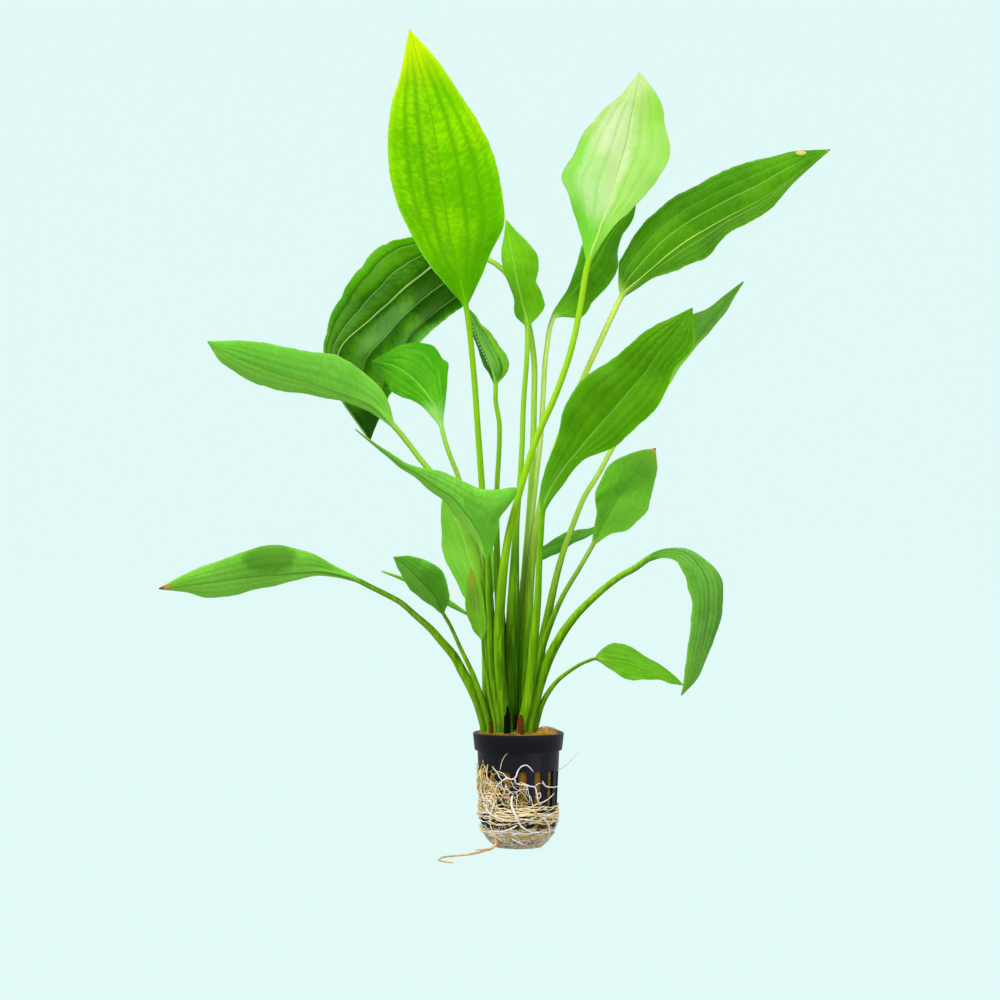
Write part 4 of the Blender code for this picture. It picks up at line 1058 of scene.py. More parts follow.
def own_marks(look, colour):
    """Patches, painted shade or painted sheen between the veins, a painted sunlit or shaded half,
    and rungs.
    """
    style, v, out = look.style, look.v, look.out
    within = look.counted.fraction()
    colour = patches(look, colour)
    # Painted shade in the tissue just outside each long vein, in the tip's colour.
    if style["shaded"]:
        shade = within.rise(0.45, 0.05) * v.rise(0.0, 0.1)
        colour = look.mix(colour, look.colours["tip"], shade * style["shaded"])
    # Painted sheen: the middle of each strip between the veins is lightened towards the vein
    # colour.
    if style["satin"]:
        satin = within.rise(0.35, 0.75) * within.rise(1.0, 0.85)
        satin = satin * v.rise(0.9, 0.6) * v.rise(0.15, 0.40) * (look.broad - 0.2)
        colour = look.mix(colour, look.colours["vein"], satin * style["satin"])
    for amount, where in zip(style["sides"], (out.rise(0.5, -1.5), out.rise(-0.5, 1.5))):
        if amount:
            light = paint(*(SUNLIT if amount > 0 else SHADED))
            colour = look.mix(colour, light, where * abs(amount))
    return rungs(look, colour) if style["ladder"] else colour


# %% Veins and midrib
RIB_LINE = (0.9, 0.35)


def vein_lines(look):
    """The long veins beside the midrib: a thin line each, with a soft broad band under it."""
    style, v = look.style, look.v
    reach = style["vein_width"]
    lines = 0.0
    for (share, strength), end in zip(style["veins"], style["veins_to"]):
        off = abs(look.size - share) * look.width
        crisp = off.rise(reach, 0.1 * reach) * style["crisp"]
        line = off.rise(2.2 * reach, 0.0) * (1 - style["crisp"]) + crisp
        lines = line * v.rise(end, end - 0.25) * strength + lines
    return lines * v.rise(0.0, 0.06)


def midrib(look, colour):
    """The midrib's line, which thins towards the tip and may change colour on the way."""
    near, v = look.colours["rib"], look.v
    line = look.mix(near, look.colours.get("rib_far", near), v.rise(0.25, 0.70))
    thick, thin = RIB_LINE
    rib = (abs(look.out) + v * (thick - thin)).rise(thick, 0.4 * thick) * v.rise(-0.02, 0.05)
    return look.mix(colour, line, rib * 0.85)


# %% The stalk's green
def stem(look):
    """Stalk: darker low down, grained, painted shade on its right, painted highlights on its left.
    """
    stalk, u, v, wander = look.colours["stalk"], look.u, look.v, look.wander
    height = look.height()
    grain = look.noise(0.0016, 2.0, look.place((1.0, 1.0, 0.05)))
    foot = look.colours.get("low", paint(*LOW_STALK))
    colour = look.mix(foot, stalk, (height + wander * 0.02).rise(0.11, 0.24))
    colour = look.mix(colour, stalk, v.rise(-0.5, -0.05) * 0.6)
    # Painted highlights: the left side and pale streaks along the grain are lightened.
    colour = look.mix(colour, paint(*LIT_STALK), (u + wander).rise(0.50, 0.15) * 0.45)
    colour = look.mix(colour, paint(*LIT_STALK), grain.rise(0.48, 0.34) * 0.5)
    # Painted shade on the right side; the stalk is also darker low down and in dark grain streaks.
    dark = height.rise(0.110, 0.072) * 0.25 + grain.rise(0.50, 0.72) * 0.28
    dark = dark + (u + wander).rise(0.62, 0.90) * 0.5
    return look.mix(colour, paint(*DARK_STALK), dark * (height.rise(0.22, 0.12) * 0.75 + 0.25))


# %% Painting a leaf
RELIEF_DEPTH = 0.00035


def leaf_look(name, leaf, length):
    """The leaf's whole finish: blade, veins, stalk, age marks, gloss and fine relief."""
    look = LeafLook(name, leaf, length)
    style = look.style
    veins = vein_lines(look)
    colour = own_marks(look, lamina(look))
    colour = midrib(look, look.mix(colour, look.colours["vein"], veins))
    colour = look.mix(colour, look.colours["deep"], (look.fine - 0.45).rise(0.0, 0.4) * 0.2)
    turned_over = paint(*(UPPER_FACE if style["under"] else UNDERSIDE))
    colour = look.mix(colour, turned_over, (1 - look.attribute("front")) * 0.3)
    colour = look.mix(stem(look), colour, look.v.rise(-0.03, 0.05))
    if style["burnt"]:
        burn, aged = style["burnt"], look.v + look.wander * 0.02
        colour = look.mix(colour, paint(*SCORCHED), aged.rise(1 - 2.2 * burn, 1 - burn))
        colour = look.mix(colour, paint(*BURNT), aged.rise(1 - 1.1 * burn, 1 - 0.5 * burn))
    look.set(Base_Color=colour, Roughness=(look.broad - 0.5) * 0.25 + style["roughness"])
    relief = look.fine * 0.3 + look.streaks * (0.5 * style["streak"]) - veins * 0.5
    look.bump(relief, RELIEF_DEPTH * style["grain"], 0.55)
    return look


# %% [markdown]
# ## Growing all the leaves
# Each leaf is grown, painted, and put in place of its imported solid.

# %% All leaves
def keep(piece, slot, *nodes, look=None):
    """The piece is finished: it rides on the plant and stands for its solids. slot is not used."""
    if look:
        piece.data.materials.append(look.material)
    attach(piece, "root")
    if nodes:
        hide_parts(*nodes)
    print(piece.name, len(piece.data.polygons), "faces")


for name, leaf in LEAVES.items():
    skin, length = grow_leaf(name, leaf)
    keep(skin, leaf["slot"], name, look=leaf_look(name, leaf, length))

# %% [markdown]
# ## The net pot
# The pot is injection-moulded: a thin wall with a flat collar, a rounded foot and rows of slots. A
# turned profile gives the wall. The profile is drawn by extruding one vertex from point to point
# and then spun round the axis.

# %% The pot's sizes
POT_HEIGHT = 66.0
BODY_TOP = 56.0
RIM_RADIUS = 26.0
COLLAR_FOOT = 25.0
BODY_TOP_RADIUS = 23.4
BODY_LOW_RADIUS = 21.6
BODY_LOW_HEIGHT = 15.0
BASE_RADIUS = 11.0
FOOT_ROUNDNESS = 1.3
CORNER_HEIGHTS = (13.3, 11.5, 9.7, 8.0, 6.5, 5.0, 3.7, 2.5, 1.4, 0.7)
WALL = 1.2
SLOPE_STEP = 0.3


def wall_radius(height):
    """The pot's outer radius at a height, below the collar."""
    if height < BODY_LOW_HEIGHT:
        drop = 1 - max(height, 0.0) / BODY_LOW_HEIGHT
        bulge = (1 - drop**FOOT_ROUNDNESS) ** (1 / FOOT_ROUNDNESS)
        return BASE_RADIUS + (BODY_LOW_RADIUS - BASE_RADIUS) * bulge
    share = min(1.0, (height - BODY_LOW_HEIGHT) / (BODY_TOP - BODY_LOW_HEIGHT))
    return BODY_LOW_RADIUS + (BODY_TOP_RADIUS - BODY_LOW_RADIUS) * share


def wall_slope(height):
    """How fast the wall's radius grows with height."""
    return (wall_radius(height + SLOPE_STEP) - wall_radius(height - SLOPE_STEP)) / (2 * SLOPE_STEP)


def inside_wall(height, gap):
    """The place this far inside the wall, square to it, as (radius, height)."""
    slope = wall_slope(height)
    step = gap / math.hypot(1, slope)
    return wall_radius(height) - step, height + step * slope


# %% Turning a profile
def turned(name, profile, steps, closed=True):
    """A solid of revolution from a profile of (radius, height) points in millimetres."""
    deselect()
    bpy.ops.mesh.primitive_plane_add(size=MM)
    piece = named(name)
    bpy.ops.object.mode_set(mode="EDIT")
    bpy.ops.mesh.select_mode(type="VERT")
    bpy.ops.mesh.select_all(action="SELECT")
    bpy.ops.mesh.merge(type="CENTER")
    at = Vector((profile[0][0], 0, profile[0][1])) * MM
    bpy.ops.transform.translate(value=at)
    for radius, height in profile[1:] + (profile[:1] if closed else []):
        to = Vector((radius, 0, height)) * MM
        bpy.ops.mesh.extrude_region_move(TRANSFORM_OT_translate={"value": to - at})
        at = to
    bpy.ops.mesh.select_all(action="SELECT")
    bpy.ops.mesh.spin(steps=steps, angle=2 * math.pi, center=(0, 0, 0), axis=(0, 0, 1))
    close_up(0.00001)
    return piece


# %% The pot's wall
LIP = 0.5
POT_STEPS = 150

outer = [(RIM_RADIUS - LIP, POT_HEIGHT), (RIM_RADIUS, POT_HEIGHT - LIP)]
outer += [(RIM_RADIUS - 0.1, POT_HEIGHT - 1.6), (COLLAR_FOOT, BODY_TOP + 0.4)]
outer += [(COLLAR_FOOT - 0.3, BODY_TOP), (BODY_TOP_RADIUS, BODY_TOP)]
outer += [(wall_radius(h), h) for h in (45.0, 35.0, 24.0, BODY_LOW_HEIGHT, *CORNER_HEIGHTS)]
outer += [(BASE_RADIUS, 0.0), (BASE_RADIUS - 3, 0.0), (0.0, 0.0)]
inner = [(0.0, WALL), (BASE_RADIUS, WALL)]
inner += [inside_wall(h, WALL) for h in reversed(CORNER_HEIGHTS)]
inner += [(wall_radius(h) - WALL, h) for h in (BODY_LOW_HEIGHT, BODY_TOP)]
inner += [(COLLAR_FOOT - WALL, BODY_TOP + WALL), (RIM_RADIUS - WALL, POT_HEIGHT - LIP)]
inner += [(RIM_RADIUS - WALL + 0.3, POT_HEIGHT)]
pot = turned("pot", outer + inner, POT_STEPS)
print("pot wall", len(pot.data.polygons), "faces")

# %% [markdown]
# ## The slots
# Two rows of slots let the roots out. Each could be cut by itself, but that is thirty cuts. One bar
# with rounded edges is modelled for a row instead and copied round the pot, the copies are joined,
# and a single Boolean cuts them all.

# %% Slots
SLOT_COUNT = 15
SLOT_WIDTH = 4.6
SLOT_ROUND = 1.2
BAR_LENGTH = 16.0
BAR_PLACE = 24.0
SLOT_ROWS = ((24.0, 45.0), (7.0, 17.0))

bars = []
for low, high in SLOT_ROWS:
    deselect()
    bpy.ops.mesh.primitive_cube_add(size=1)
    bar = bpy.context.object
    bar.scale = (BAR_LENGTH * MM, SLOT_WIDTH * MM, (high - low) * MM)
    bpy.ops.object.transform_apply(scale=True)
    modifier(bar, "BEVEL", width=SLOT_ROUND * MM, segments=4)
    place = Matrix.Translation((BAR_PLACE * MM, 0, (low + high) / 2 * MM))
    for i in range(SLOT_COUNT):
        copy = bpy.data.objects.new("bar", bar.data.copy())
        bpy.context.scene.collection.objects.link(copy)
        copy.data.transform(Matrix.Rotation(2 * math.pi * (i + 0.5) / SLOT_COUNT, 4, "Z") @ place)
        bars.append(copy)
    bpy.data.objects.remove(bar)
only(bars[0])
for bar in bars:
    bar.select_set(True)
bpy.ops.object.join()
cutter = bpy.context.object
modifier(pot, "BOOLEAN", operation="DIFFERENCE", solver="EXACT", object=cutter)
bpy.data.objects.remove(cutter)
only(pot)
bpy.ops.object.shade_smooth_by_angle(angle=math.radians(35))
print("pot with slots", len(pot.data.polygons), "faces")

# %% [markdown]
# ## Black plastic
# Moulded plastic is nearly black but never flat: it has a soft blue-grey sheen, faint vertical flow
# streaks, and a film of lime and algae low down where it stood in water.

# %% Pot finish
black = Look("black plastic", Specular_IOR_Level=0.35, Specular_Tint=(0.75, 0.8, 1.0))
cloud = black.noise(0.012, 4.0)
flow = black.noise(0.002, 2.0, black.place((1.0, 1.0, 0.08)))
plastic = black.mix(paint(4, 4, 9), paint(17, 18, 27), cloud * 0.6 + flow * 0.3)
film = black.height().rise(0.014, 0.001) * (cloud - 0.20).rise(0.0, 0.35)
plastic = black.mix(plastic, paint(150, 138, 112), film * 0.75)
black.set(Base_Color=plastic, Roughness=0.28 + cloud * 0.2 + film * 0.4)
black.bump(flow * 0.6 + black.noise(0.0012, 3.0) * 0.4, 0.0001, 0.5)
keep(pot, "pot_plastic", "net_pot", look=black)

# %% [markdown]
# ## Strands
# Wool fibres and roots are the same thing to a modeller: many thin tubes. Each could be a cylinder
# that is bent, but that is slow for a thousand. A curve with a bevel holds all of one tangle's runs
# as splines and is made a mesh in one step. Every run is rough in thickness and tapers at its ends.

# %% Strands: many thin tubes as one mesh
ROUGH_RADIUS = 0.3
END_SHARES = (0.3, 0.75)


def strands(name, runs, looks, sides=1):
    """runs: (points in mm, radius at the start, radius at the end, which look)."""
    curve = bpy.data.curves.new(name, "CURVE")
    curve.dimensions = "3D"
    curve.bevel_depth = MM
    curve.bevel_resolution = sides
    curve.use_fill_caps = True
    for look in looks:
        curve.materials.append(look.material)
    for points, start, end, shade in runs:
        spline = curve.splines.new("POLY")
        spline.points.add(len(points) - 1)
        places = np.c_[np.asarray(points) * MM, np.ones(len(points))]
        spline.points.foreach_set("co", places.ravel())
        radii = np.linspace(start, end, len(points))
        radii *= [1 + ROUGH_RADIUS * noise.noise(Vector(point) * 0.8) for point in points]
        radii[[0, -1]] *= END_SHARES[0]
        radii[[1, -2]] *= END_SHARES[1]
        spline.points.foreach_set("radius", radii)
        spline.material_index = shade
        spline.use_smooth = True
    piece = bpy.data.objects.new(name, curve)
    bpy.context.scene.collection.objects.link(piece)
    only(piece)
    bpy.ops.object.convert(target="MESH")
    piece = named(name)
    close_up(0.000002)
    return piece


def curved(points, spacing):
    """A smooth run through the points, at about this spacing in millimetres."""
    points = np.array(points, float)
    knots = chord_knots(points)
    count = max(4, int(knots[-1] / spacing))
    return read_curve(knots, points, np.linspace(0, knots[-1], count))


# %% [markdown]
# ## Stone wool
# The pot is stuffed with spun rock: a soft, matted plug, wet and stained yellow-brown. Its body is
# a turned plug whose skin is pushed in and out by noise, with a small mound on the right where the
# wool was stuffed in. Loose fibres lie over the top and give it a ragged edge.

# %% The wool plug
WOOL_TOP = 65.2
CLEAR = 0.4
WOOL_STEPS = 120
MOUND = (15.5, -3.0)
MOUND_REACH = 9.0
TOP_SKIN = 61.0


def mound(x, y):
    """How high the mound is over a place, as a share of its own height."""
    return max(0.0, 1 - ((x - MOUND[0]) ** 2 + (y - MOUND[1]) ** 2) / MOUND_REACH**2)


wool_outer = WALL + CLEAR
profile = [(0.0, WOOL_TOP)]
profile += [(r, WOOL_TOP) for r in np.arange(1.5, 22.0, 1.5)]
profile += [(22.4, 64.4), (23.4, 62.4), (23.2, 60.0)]
profile += [inside_wall(h, wool_outer) for h in np.arange(58.0, 1.0, -1.6)]
profile += [(BASE_RADIUS - CLEAR, wool_outer), (0.0, wool_outer)]
wool = turned("wool", profile, WOOL_STEPS, closed=False)
for vertex in wool.data.vertices:
    place = vertex.co / MM
    rough = noise.noise(place * 0.45) * 0.5 + noise.noise(place * 1.3) * 0.35
    outward = Vector((place.x, place.y, 0))
    if place.z > TOP_SKIN:
        vertex.co.z += (rough * 1.8 + 3.4 * mound(place.x, place.y)) * MM
    elif outward.length > 1:
        vertex.co += outward.normalized() * (min(rough, 0.25) - 0.15) * MM
only(wool)
bpy.ops.object.shade_smooth()

# %% Wool finish
woolly = Look("stone wool", Roughness=0.95, Specular_IOR_Level=0.2)
tangle = woolly.noise(0.0009, 5.0, woolly.place((1.0, 1.0, 2.2)))
clump = woolly.noise(0.006, 3.0)
yellow = (tangle * 0.7 + clump * 0.5 - 0.28) * 1.8
fibre = woolly.mix(paint(120, 80, 18), paint(228, 180, 74), yellow)
# Below the collar the wool is darkened: painted shade where it lies inside the pot behind the
# slots.
inside = woolly.height().rise(0.060, 0.056)
woolly.set(Base_Color=woolly.mix(fibre, paint(116, 84, 22), inside * 0.5))
woolly.bump(tangle, 0.0008, 1.0)
keep(wool, "stone_wool", "rock_wool", look=woolly)

# %% Loose wool fibres
FIBRES = 1200
FIBRE_STEPS = 5
SPREAD = 23.5
FIBRE_LIMIT = 24.5

random.seed(11)
threads = []
for _ in range(FIBRES):
    turn = random.uniform(0, 2 * math.pi)
    radius = SPREAD * math.sqrt(random.uniform(0.12, 1.0))
    start = Vector((radius * math.cos(turn), radius * math.sin(turn), 0))
    start.z = WOOL_TOP - 0.6 + 3.2 * mound(start.x, start.y)
    heading = random.uniform(0, 2 * math.pi)
    length = random.uniform(2.0, 5.5)
    lift = random.uniform(0.2, 1.8)
    bend = random.uniform(-1.2, 1.2)
    run = []
    for k in range(FIBRE_STEPS + 1):
        t = k / FIBRE_STEPS
        way = heading + bend * t
        place = start + Vector((math.cos(way), math.sin(way), 0)) * length * (t - 0.5)
        if place.xy.length > FIBRE_LIMIT:
            place.xy = place.xy * (FIBRE_LIMIT / place.xy.length)
        place.z = start.z + lift * math.sin(math.pi * t) + 0.25
        run.append(place)
    threads.append((run, 0.12, 0.06, 0))
keep(strands("wool_fibres", threads, [woolly], sides=0), "stone_wool")

# %% [markdown]
# ## Crown and dry sheaths
# The leaves spring from a short thick rootstock. Little of it shows between the stalks, so a
# flattened sphere made lumpy by noise is enough. Three dry brown scales from leaves that are gone
# stand round it. A fourth, near-black one is painted shade: a dark sheet in a gap between the
# stalks. A scale is a small grid, narrowed towards its top, bowed across, leaned forwards and
# given a thickness.

# %% Crown
low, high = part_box("crown")
deselect()
bpy.ops.mesh.primitive_uv_sphere_add(segments=64, ring_count=32, radius=1.0)
crown = named("rootstock")
middle = (low + high) / 2
half = (high - low) / 2
for vertex in crown.data.vertices:
    lump = 0.96 + 0.05 * noise.noise(vertex.co * 3.2) + 0.03 * noise.noise(vertex.co * 9.0)
    flat = Vector((vertex.co.x * half.x, vertex.co.y * half.y, vertex.co.z * half.z * 1.25))
    vertex.co = middle + flat * lump
only(crown)
bpy.ops.object.shade_smooth()
stock = Look("rootstock", Roughness=0.75)
patch = stock.noise(0.004, 4.0)
stock.set(Base_Color=stock.mix(paint(92, 66, 22), paint(196, 170, 84), patch * 1.6 - 0.35))
stock.bump(patch, 0.0008, 0.8)
keep(crown, "crown", "crown", look=stock)

# %% Dry sheaths
SCALE_FOOT = 2.0
SCALE_THICKNESS = 0.35

dry = Look("dry sheath", Roughness=0.8, Specular_IOR_Level=0.1)
grain = dry.noise(0.0012, 3.0, dry.place((1.0, 1.0, 0.12)))
dry.set(Base_Color=dry.mix(paint(50, 20, 0), paint(118, 62, 8), grain * 1.8 - 0.4))
dry.bump(grain, 0.0003, 0.9)
# The near-black look is painted shade, for a sheet in a gap between the stalks.
old = Look("old sheath", Roughness=0.8, Specular_IOR_Level=0.05, Base_Color=paint(10, 14, 6))
SHEATHS = {
    "sheath_front": (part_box("sheath_front"), dry, ["sheath_front"]),
    "sheath_left": (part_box("sheath_left"), dry, ["sheath_left"]),
    # This one is no scale but a dark sheet of painted shade in a gap between the stalks.
    "shade_sheet": ((Vector((-8.3, -14.4, 68.0)) * MM, Vector((-4.5, -13.4, 82.0)) * MM), old, []),
    "sheath_brown": ((Vector((-0.4, -14.2, 68.0)) * MM, Vector((3.0, -13.2, 77.0)) * MM), dry, []),
}
for name, ((low, high), look, nodes) in SHEATHS.items():
    wide, deep, tall = high - low
    middle = (low + high) / 2
    deselect()
    bpy.ops.mesh.primitive_grid_add(x_subdivisions=14, y_subdivisions=30, size=1)
    scale = named(name + "_scale")
    for vertex in scale.data.vertices:
        a, t = vertex.co.x * 2, vertex.co.y + 0.5
        narrow = (1 - t**5) * 0.8 + 0.2
        ragged = 0.04 * noise.noise(Vector((a * 3, t * 9, 1.0)))
        vertex.co = Vector((
            middle.x + a * narrow * wide / 2,
            middle.y + (0.25 * a * a - 0.3 * t + ragged) * deep,
            low.z - SCALE_FOOT * MM + t * (tall + SCALE_FOOT * MM),
        ))
    modifier(scale, "SOLIDIFY", thickness=SCALE_THICKNESS * MM, offset=0)
    bpy.ops.object.shade_smooth()
    keep(scale, "dry_sheath", *nodes, look=look)

# %% [markdown]
# ## Roots
# Roots come out of the slots, wander over the wall and tangle into two belts. The young ones are
# white, the grown ones cream and the old ones tan. The trailing root is amber, and the finest hairs
# are a dull cream. These five looks keep a tangle from looking like one thing.

# %% Root looks
def root_look(name, pale, dark):
    """A waxy root with blotches of two shades."""
    look = Look(
        name, Roughness=0.5, Specular_IOR_Level=0.4, Subsurface_Weight=0.5,
        Subsurface_Scale=0.0006, Subsurface_Radius=(0.8, 0.8, 0.7),
    )
    blotch = look.noise(0.003, 4.0)
    look.set(Base_Color=look.mix(paint(*dark), paint(*pale), blotch * 2.2 - 0.5))
    look.bump(look.noise(0.0006, 3.0), 0.0001, 0.6)
    return look


YOUNG, GROWN, OLD, AMBER, HAIR = range(5)
ROOT_LOOKS = [
    root_look("young root", (255, 252, 248), (246, 236, 220)),
    root_look("grown root", (255, 242, 190), (236, 204, 124)),
    root_look("old root", (232, 198, 112), (178, 136, 52)),
    root_look("root tip", (244, 204, 128), (216, 156, 72)),
    root_look("root hair", (244, 236, 210), (204, 190, 150)),
]

# %% [markdown]
# ## Wandering roots
# A root has no plan: it turns a little at every step. Points scattered by chance would make it
# jitter, so its heading is turned by smooth noise instead. It keeps just off the pot's wall, rises
# and falls as if it crossed others, and is drawn back to the height that is its home. A seed is set
# before each tangle, so that it grows in the same way on every run.

# %% Roots that wander over the wall
ROOT_GAP = 0.15
CRAWL_STEP = 0.9
CRAWL_LIMITS = (0.5, 52.0)
TURN_NOISE = 0.35
LIFT_NOISE = 0.2


def crawl(angle, up, heading, length, radius, lift, wild, home, hold):
    """A run over the pot's wall that turns at random. hold draws it back to the height home."""
    lowest, highest = CRAWL_LIMITS
    seed = random.uniform(0, 99)
    run = []
    for k in range(max(6, int(length / CRAWL_STEP))):
        heading += wild * noise.noise(Vector((seed, TURN_NOISE * k, 0.0)))
        up += CRAWL_STEP * (math.sin(heading) + hold * (home - up))
        up = min(highest, max(lowest, up))
        angle += CRAWL_STEP * math.cos(heading) / wall_radius(up)
        off = lift * (0.5 + noise.noise(Vector((seed, LIFT_NOISE * k, 5.0))))
        out = wall_radius(up) + ROOT_GAP + radius + max(0.0, off)
        run.append((out * math.cos(angle), out * math.sin(angle), up))
    return run


# %% [markdown]
# ## The two belts
# At the foot of each row of slots the roots have turned along the wall and made a belt. A ring with
# a rough skin would look like dough. So a belt is a tangle of many runs, each with its own start,
# height and swing, and they cross as real ones do.

# %% Belts of roots
BELTS = {
    "root_belt_upper": dict(height=20.5, swing=1.2, waves=3, half=3.4, depth=2.2, count=84),
    "root_belt_lower": dict(height=9.0, swing=1.0, waves=2, half=2.0, depth=1.8, count=84),
}
random.seed(23)
for name, belt in BELTS.items():
    runs = []
    for _ in range(belt["count"]):
        turn = random.uniform(0, 2 * math.pi)
        own = random.uniform(-1, 1)
        middle = belt["height"] + belt["swing"] * math.sin(belt["waves"] * turn + 1.0)
        home = middle + own * belt["half"]
        heading = random.choice((0.0, math.pi)) + random.uniform(-0.4, 0.4)
        radius = random.choice((0.2, 0.3, 0.4, 0.55))
        lift = (1.1 - abs(own)) * random.uniform(0.2, 1.0) * belt["depth"]
        length = random.uniform(14, 60)
        shade = random.choices((YOUNG, GROWN, OLD), (4, 6, 3))[0]
        run = crawl(turn, home, heading, length, radius, lift, 0.5, home, 0.45)
        runs.append((run, radius, radius * 0.6, shade))
    keep(strands(name + "_tangle", runs, ROOT_LOOKS), "root", name)

# %% [markdown]
# ## The pad on the left
# At the left slots the roots have matted into a pad that hangs down the wall. Its runs start close
# together, head downwards and turn more wildly than in the belts. They stand furthest off the wall
# in the middle of the pad.

# %% The pad of matted roots
MAT_RUNS = 105
MAT_MIDDLE = 208
MAT_HALF = 27
MAT_HOME = 37.0

random.seed(31)
runs = []
for _ in range(MAT_RUNS):
    share = random.uniform(-1, 1)
    turn = math.radians(MAT_MIDDLE + MAT_HALF * share)
    foot = random.uniform(24.0, 50.0)
    heading = random.uniform(-2.6, -0.5)
    radius = random.choice((0.14, 0.22, 0.34, 0.48))
    lift = random.uniform(0.1, 2.4) * (1.1 - share * share)
    shade = random.choices((YOUNG, GROWN, OLD), (3, 6, 6))[0]
    run = crawl(turn, foot, heading, random.uniform(6, 22), radius, lift, 0.9, MAT_HOME, 0.03)
    runs.append((run, radius, radius * 0.5, shade))
keep(strands("root_mat_tangle", runs, ROOT_LOOKS), "root", "root_mat_left")

# %% [markdown]
# ## Thick roots
# A few white roots are thick enough to be told apart, and they are what the eye finds first. Their
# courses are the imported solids' own, as places across and up seen from the front. Each is laid on
# the round wall and lifted where it passes over a belt.

# %% Thick roots on the wall
WALL_ROOTS = {
    "root_front": (0.7, [(-3.5, 32), (-4, 27), (-1.5, 20.5), (1.5, 14.5), (8.5, 10)]),
    "root_arch": (0.5, [
        (-10, 39.5), (-6.5, 41.5), (-3.5, 41), (-1.5, 42.5), (-0.5, 45.5), (2, 48.5), (4.5, 49),
        (7, 47), (8.5, 45),
    ]),
    "root_fork": (0.45, [
        (-1.5, 38.5), (1.5, 38), (6, 37), (9, 36.5), (10.5, 32), (11.5, 27.5), (16, 28.5),
        (20.5, 32),
    ]),
    "root_right": (0.6, [(14, 19), (17, 14.5), (17.5, 9), (15, 4.5), (10, 2.5)]),
    "root_lower_left": (0.4, [(-12, 30), (-15, 24), (-16, 15), (-13.5, 8.5), (-9, 5)]),
}
BELT_RAMP = 3.0


def over_belts(up):
    """How far a root rises off the wall at a height, to pass over the belts."""
    rise = 0.0
    for belt in BELTS.values():
        edge = belt["half"] + belt["swing"]
        near = (edge + BELT_RAMP - abs(up - belt["height"])) / BELT_RAMP
        rise = max(rise, belt["depth"] * min(1.0, near))
    return rise


def on_wall(across, up, radius):
    """The place on the wall for a root of this radius, across and up as seen from the front."""
    out = wall_radius(up) + (ROOT_GAP + radius) * math.hypot(1, wall_slope(up)) + over_belts(up)
    return across, -math.sqrt(max(out * out - across * across, 0.0)), up


def laid(route, radius, spacing):
    """A smooth run on the wall along a front-view route."""
    return curved([on_wall(x, z, radius) for x, z in route], spacing)


for name, (radius, route) in WALL_ROOTS.items():
    runs = [(laid(route, radius, 0.7), radius, radius * 0.6, YOUNG)]
    keep(strands(name + "_tube", runs, ROOT_LOOKS, sides=3), "root", name)

# %% [markdown]
# ## Fine roots and hairs
# Between the thick roots run thinner ones, and round the pot's foot a web of hairs. The thinner
# ones that show clearly are laid one by one like the thick ones. The hairs, and some loose roots
# over the slots in front, are too many for that and wander by chance.

# %% Finer roots on the wall
FINE_ROOTS = [
    ([(-10.5, 46), (-9, 52), (-2, 59), (1.5, 60.2)], 0.22, GROWN),
    ([(-9.5, 39.8), (-12, 37), (-13.5, 33), (-12.5, 29)], 0.45, YOUNG),
    ([(-6, 41.3), (-8.5, 44), (-12, 45.5)], 0.4, YOUNG),
    ([(-2, 42), (-1.5, 39), (-0.2, 38.2)], 0.45, YOUNG),
    ([(9.0, 36.6), (12, 38.5), (13.5, 38)], 0.3, YOUNG),
    ([(13.5, 39.6), (15, 37), (19, 35.6), (22.5, 35.4)], 0.5, YOUNG),
    ([(10.5, 32), (12.2, 33), (12.4, 30.5), (10.8, 29.6), (9.6, 31)], 0.4, YOUNG),
    ([(-0.5, 15), (-5, 12.5), (-12, 10.8), (-15, 11)], 0.5, YOUNG),
    ([(-3.5, 6.5), (2, 3.6), (9, 1.6)], 0.55, YOUNG),
    ([(-19, 26), (-17, 22), (-10, 18.5), (-6, 17.5)], 0.5, YOUNG),
    ([(-17.5, 17), (-11, 14.6), (-4, 16)], 0.4, GROWN),
    ([(5, 24), (9, 22.5), (13.5, 18)], 0.35, GROWN),
]
HAIRS = 1000
HAIR_HOME = 6.0
LOOSE_ROOTS = 56
LOOSE_HOME = 30.0

random.seed(41)
runs = []
for route, radius, shade in FINE_ROOTS:
    runs.append((laid(route, radius, 0.6), radius, radius * 0.5, shade))
for _ in range(HAIRS):
    foot = random.uniform(0.8, 11.0)
    radius = random.choice((0.1, 0.15, 0.22))
    shade = random.choices((YOUNG, GROWN, HAIR), (4, 5, 7))[0]
    heading = random.uniform(0, 2 * math.pi)
    turn = random.uniform(0, 2 * math.pi)
    run = crawl(turn, foot, heading, random.uniform(5, 16), radius, 1.2, 0.9, HAIR_HOME, 0.06)
    runs.append((run, radius, radius * 0.5, shade))
for _ in range(LOOSE_ROOTS):
    turn = math.radians(228 + 60 * random.random() ** 1.6)
    radius = random.choice((0.14, 0.22, 0.34))
    shade = random.choices((YOUNG, GROWN, OLD), (6, 5, 3))[0]
    heading = random.uniform(-2.8, 0.0)
    foot = random.uniform(22, 42)
    run = crawl(turn, foot, heading, random.uniform(6, 18), radius, 0.9, 0.9, LOOSE_HOME, 0.03)
    runs.append((run, radius, radius * 0.5, shade))
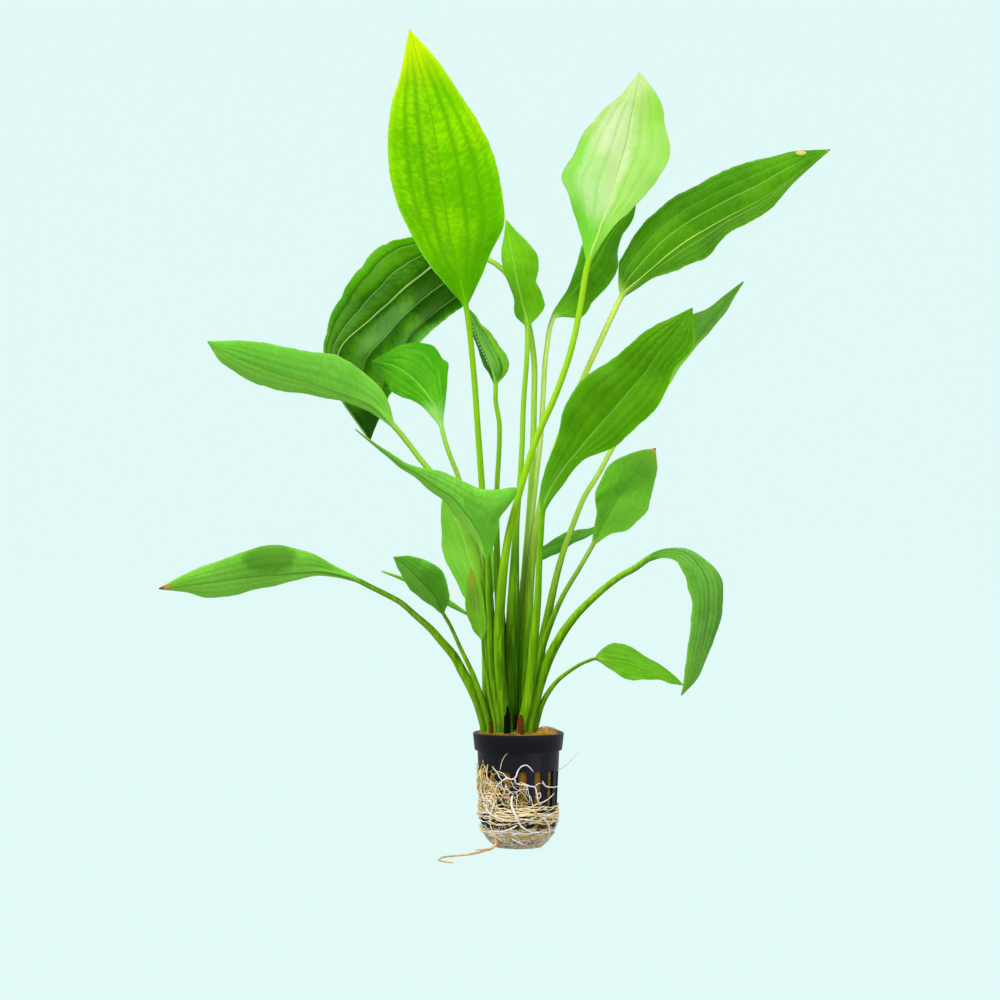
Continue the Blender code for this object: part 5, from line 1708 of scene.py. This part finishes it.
keep(strands("fine_roots", runs, ROOT_LOOKS), "root")

# %% [markdown]
# ## Stray and trailing roots
# One short root sticks out to the right, in the air. One long root has slipped out at the pot's
# foot and trails along the surface: it leaves the wall, comes down in a bend and lies flat, thinner
# and tan towards its tip. Both follow routes through space, and side roots are runs of the same
# mesh.

# %% Stray root
STRAY_STEP = 0.8
STRAY = [(21.8, -9.4, 44.7), (25, -11, 46.5), (28, -12.5, 49), (32, -13.5, 53), (36, -14, 57)]
STRAY_SIDE = [(32, -13.5, 53), (32.6, -13.4, 55.5), (34.8, -13.8, 57)]
stray_runs = [
    (curved(STRAY, STRAY_STEP), 0.32, 0.14, GROWN),
    (curved(STRAY_SIDE, STRAY_STEP), 0.18, 0.1, GROWN),
]
keep(strands("stray_root", stray_runs, ROOT_LOOKS), "root", "root_stray")

# %% Trailing root
TRAILING = [
    (-13.4, -14.9, 7.2), (-12.6, -14.4, 4.8), (-13.4, -16.4, 2.5), (-15.6, -20.0, 1.2),
    (-19, -26, 1.0), (-21, -33, 0.95), (-24, -40, 0.9), (-29, -48, 0.85), (-36, -54, 0.8),
    (-41, -59, 0.75), (-44, -67, 0.7), (-44.5, -76, 0.65), (-41, -84, 0.6), (-36, -90, 0.55),
]
TRAILING_SIDES = [
    ([(-15.4, -19.6, 1.3), (-20.5, -21.6, 0.9), (-25.5, -21.5, 0.6)], 0.55, 0.25, AMBER),
    ([(-44.2, -70, 0.75), (-45.2, -76, 0.6), (-45.2, -83, 0.5)], 0.4, 0.2, AMBER),
    ([(-30, -49, 0.9), (-35, -50, 0.5), (-39, -50, 0.4)], 0.3, 0.15, YOUNG),
]
trail = curved(TRAILING, 0.9)
split = int(len(trail) * 0.62)
trail_runs = [(trail[:split + 1], 0.8, 0.55, AMBER), (trail[split - 3:], 0.55, 0.3, OLD)]
trail_runs += [(curved(route, STRAY_STEP), *rest) for route, *rest in TRAILING_SIDES]
keep(strands("trailing_root", trail_runs, ROOT_LOOKS, sides=3), "root", "root_trailing")
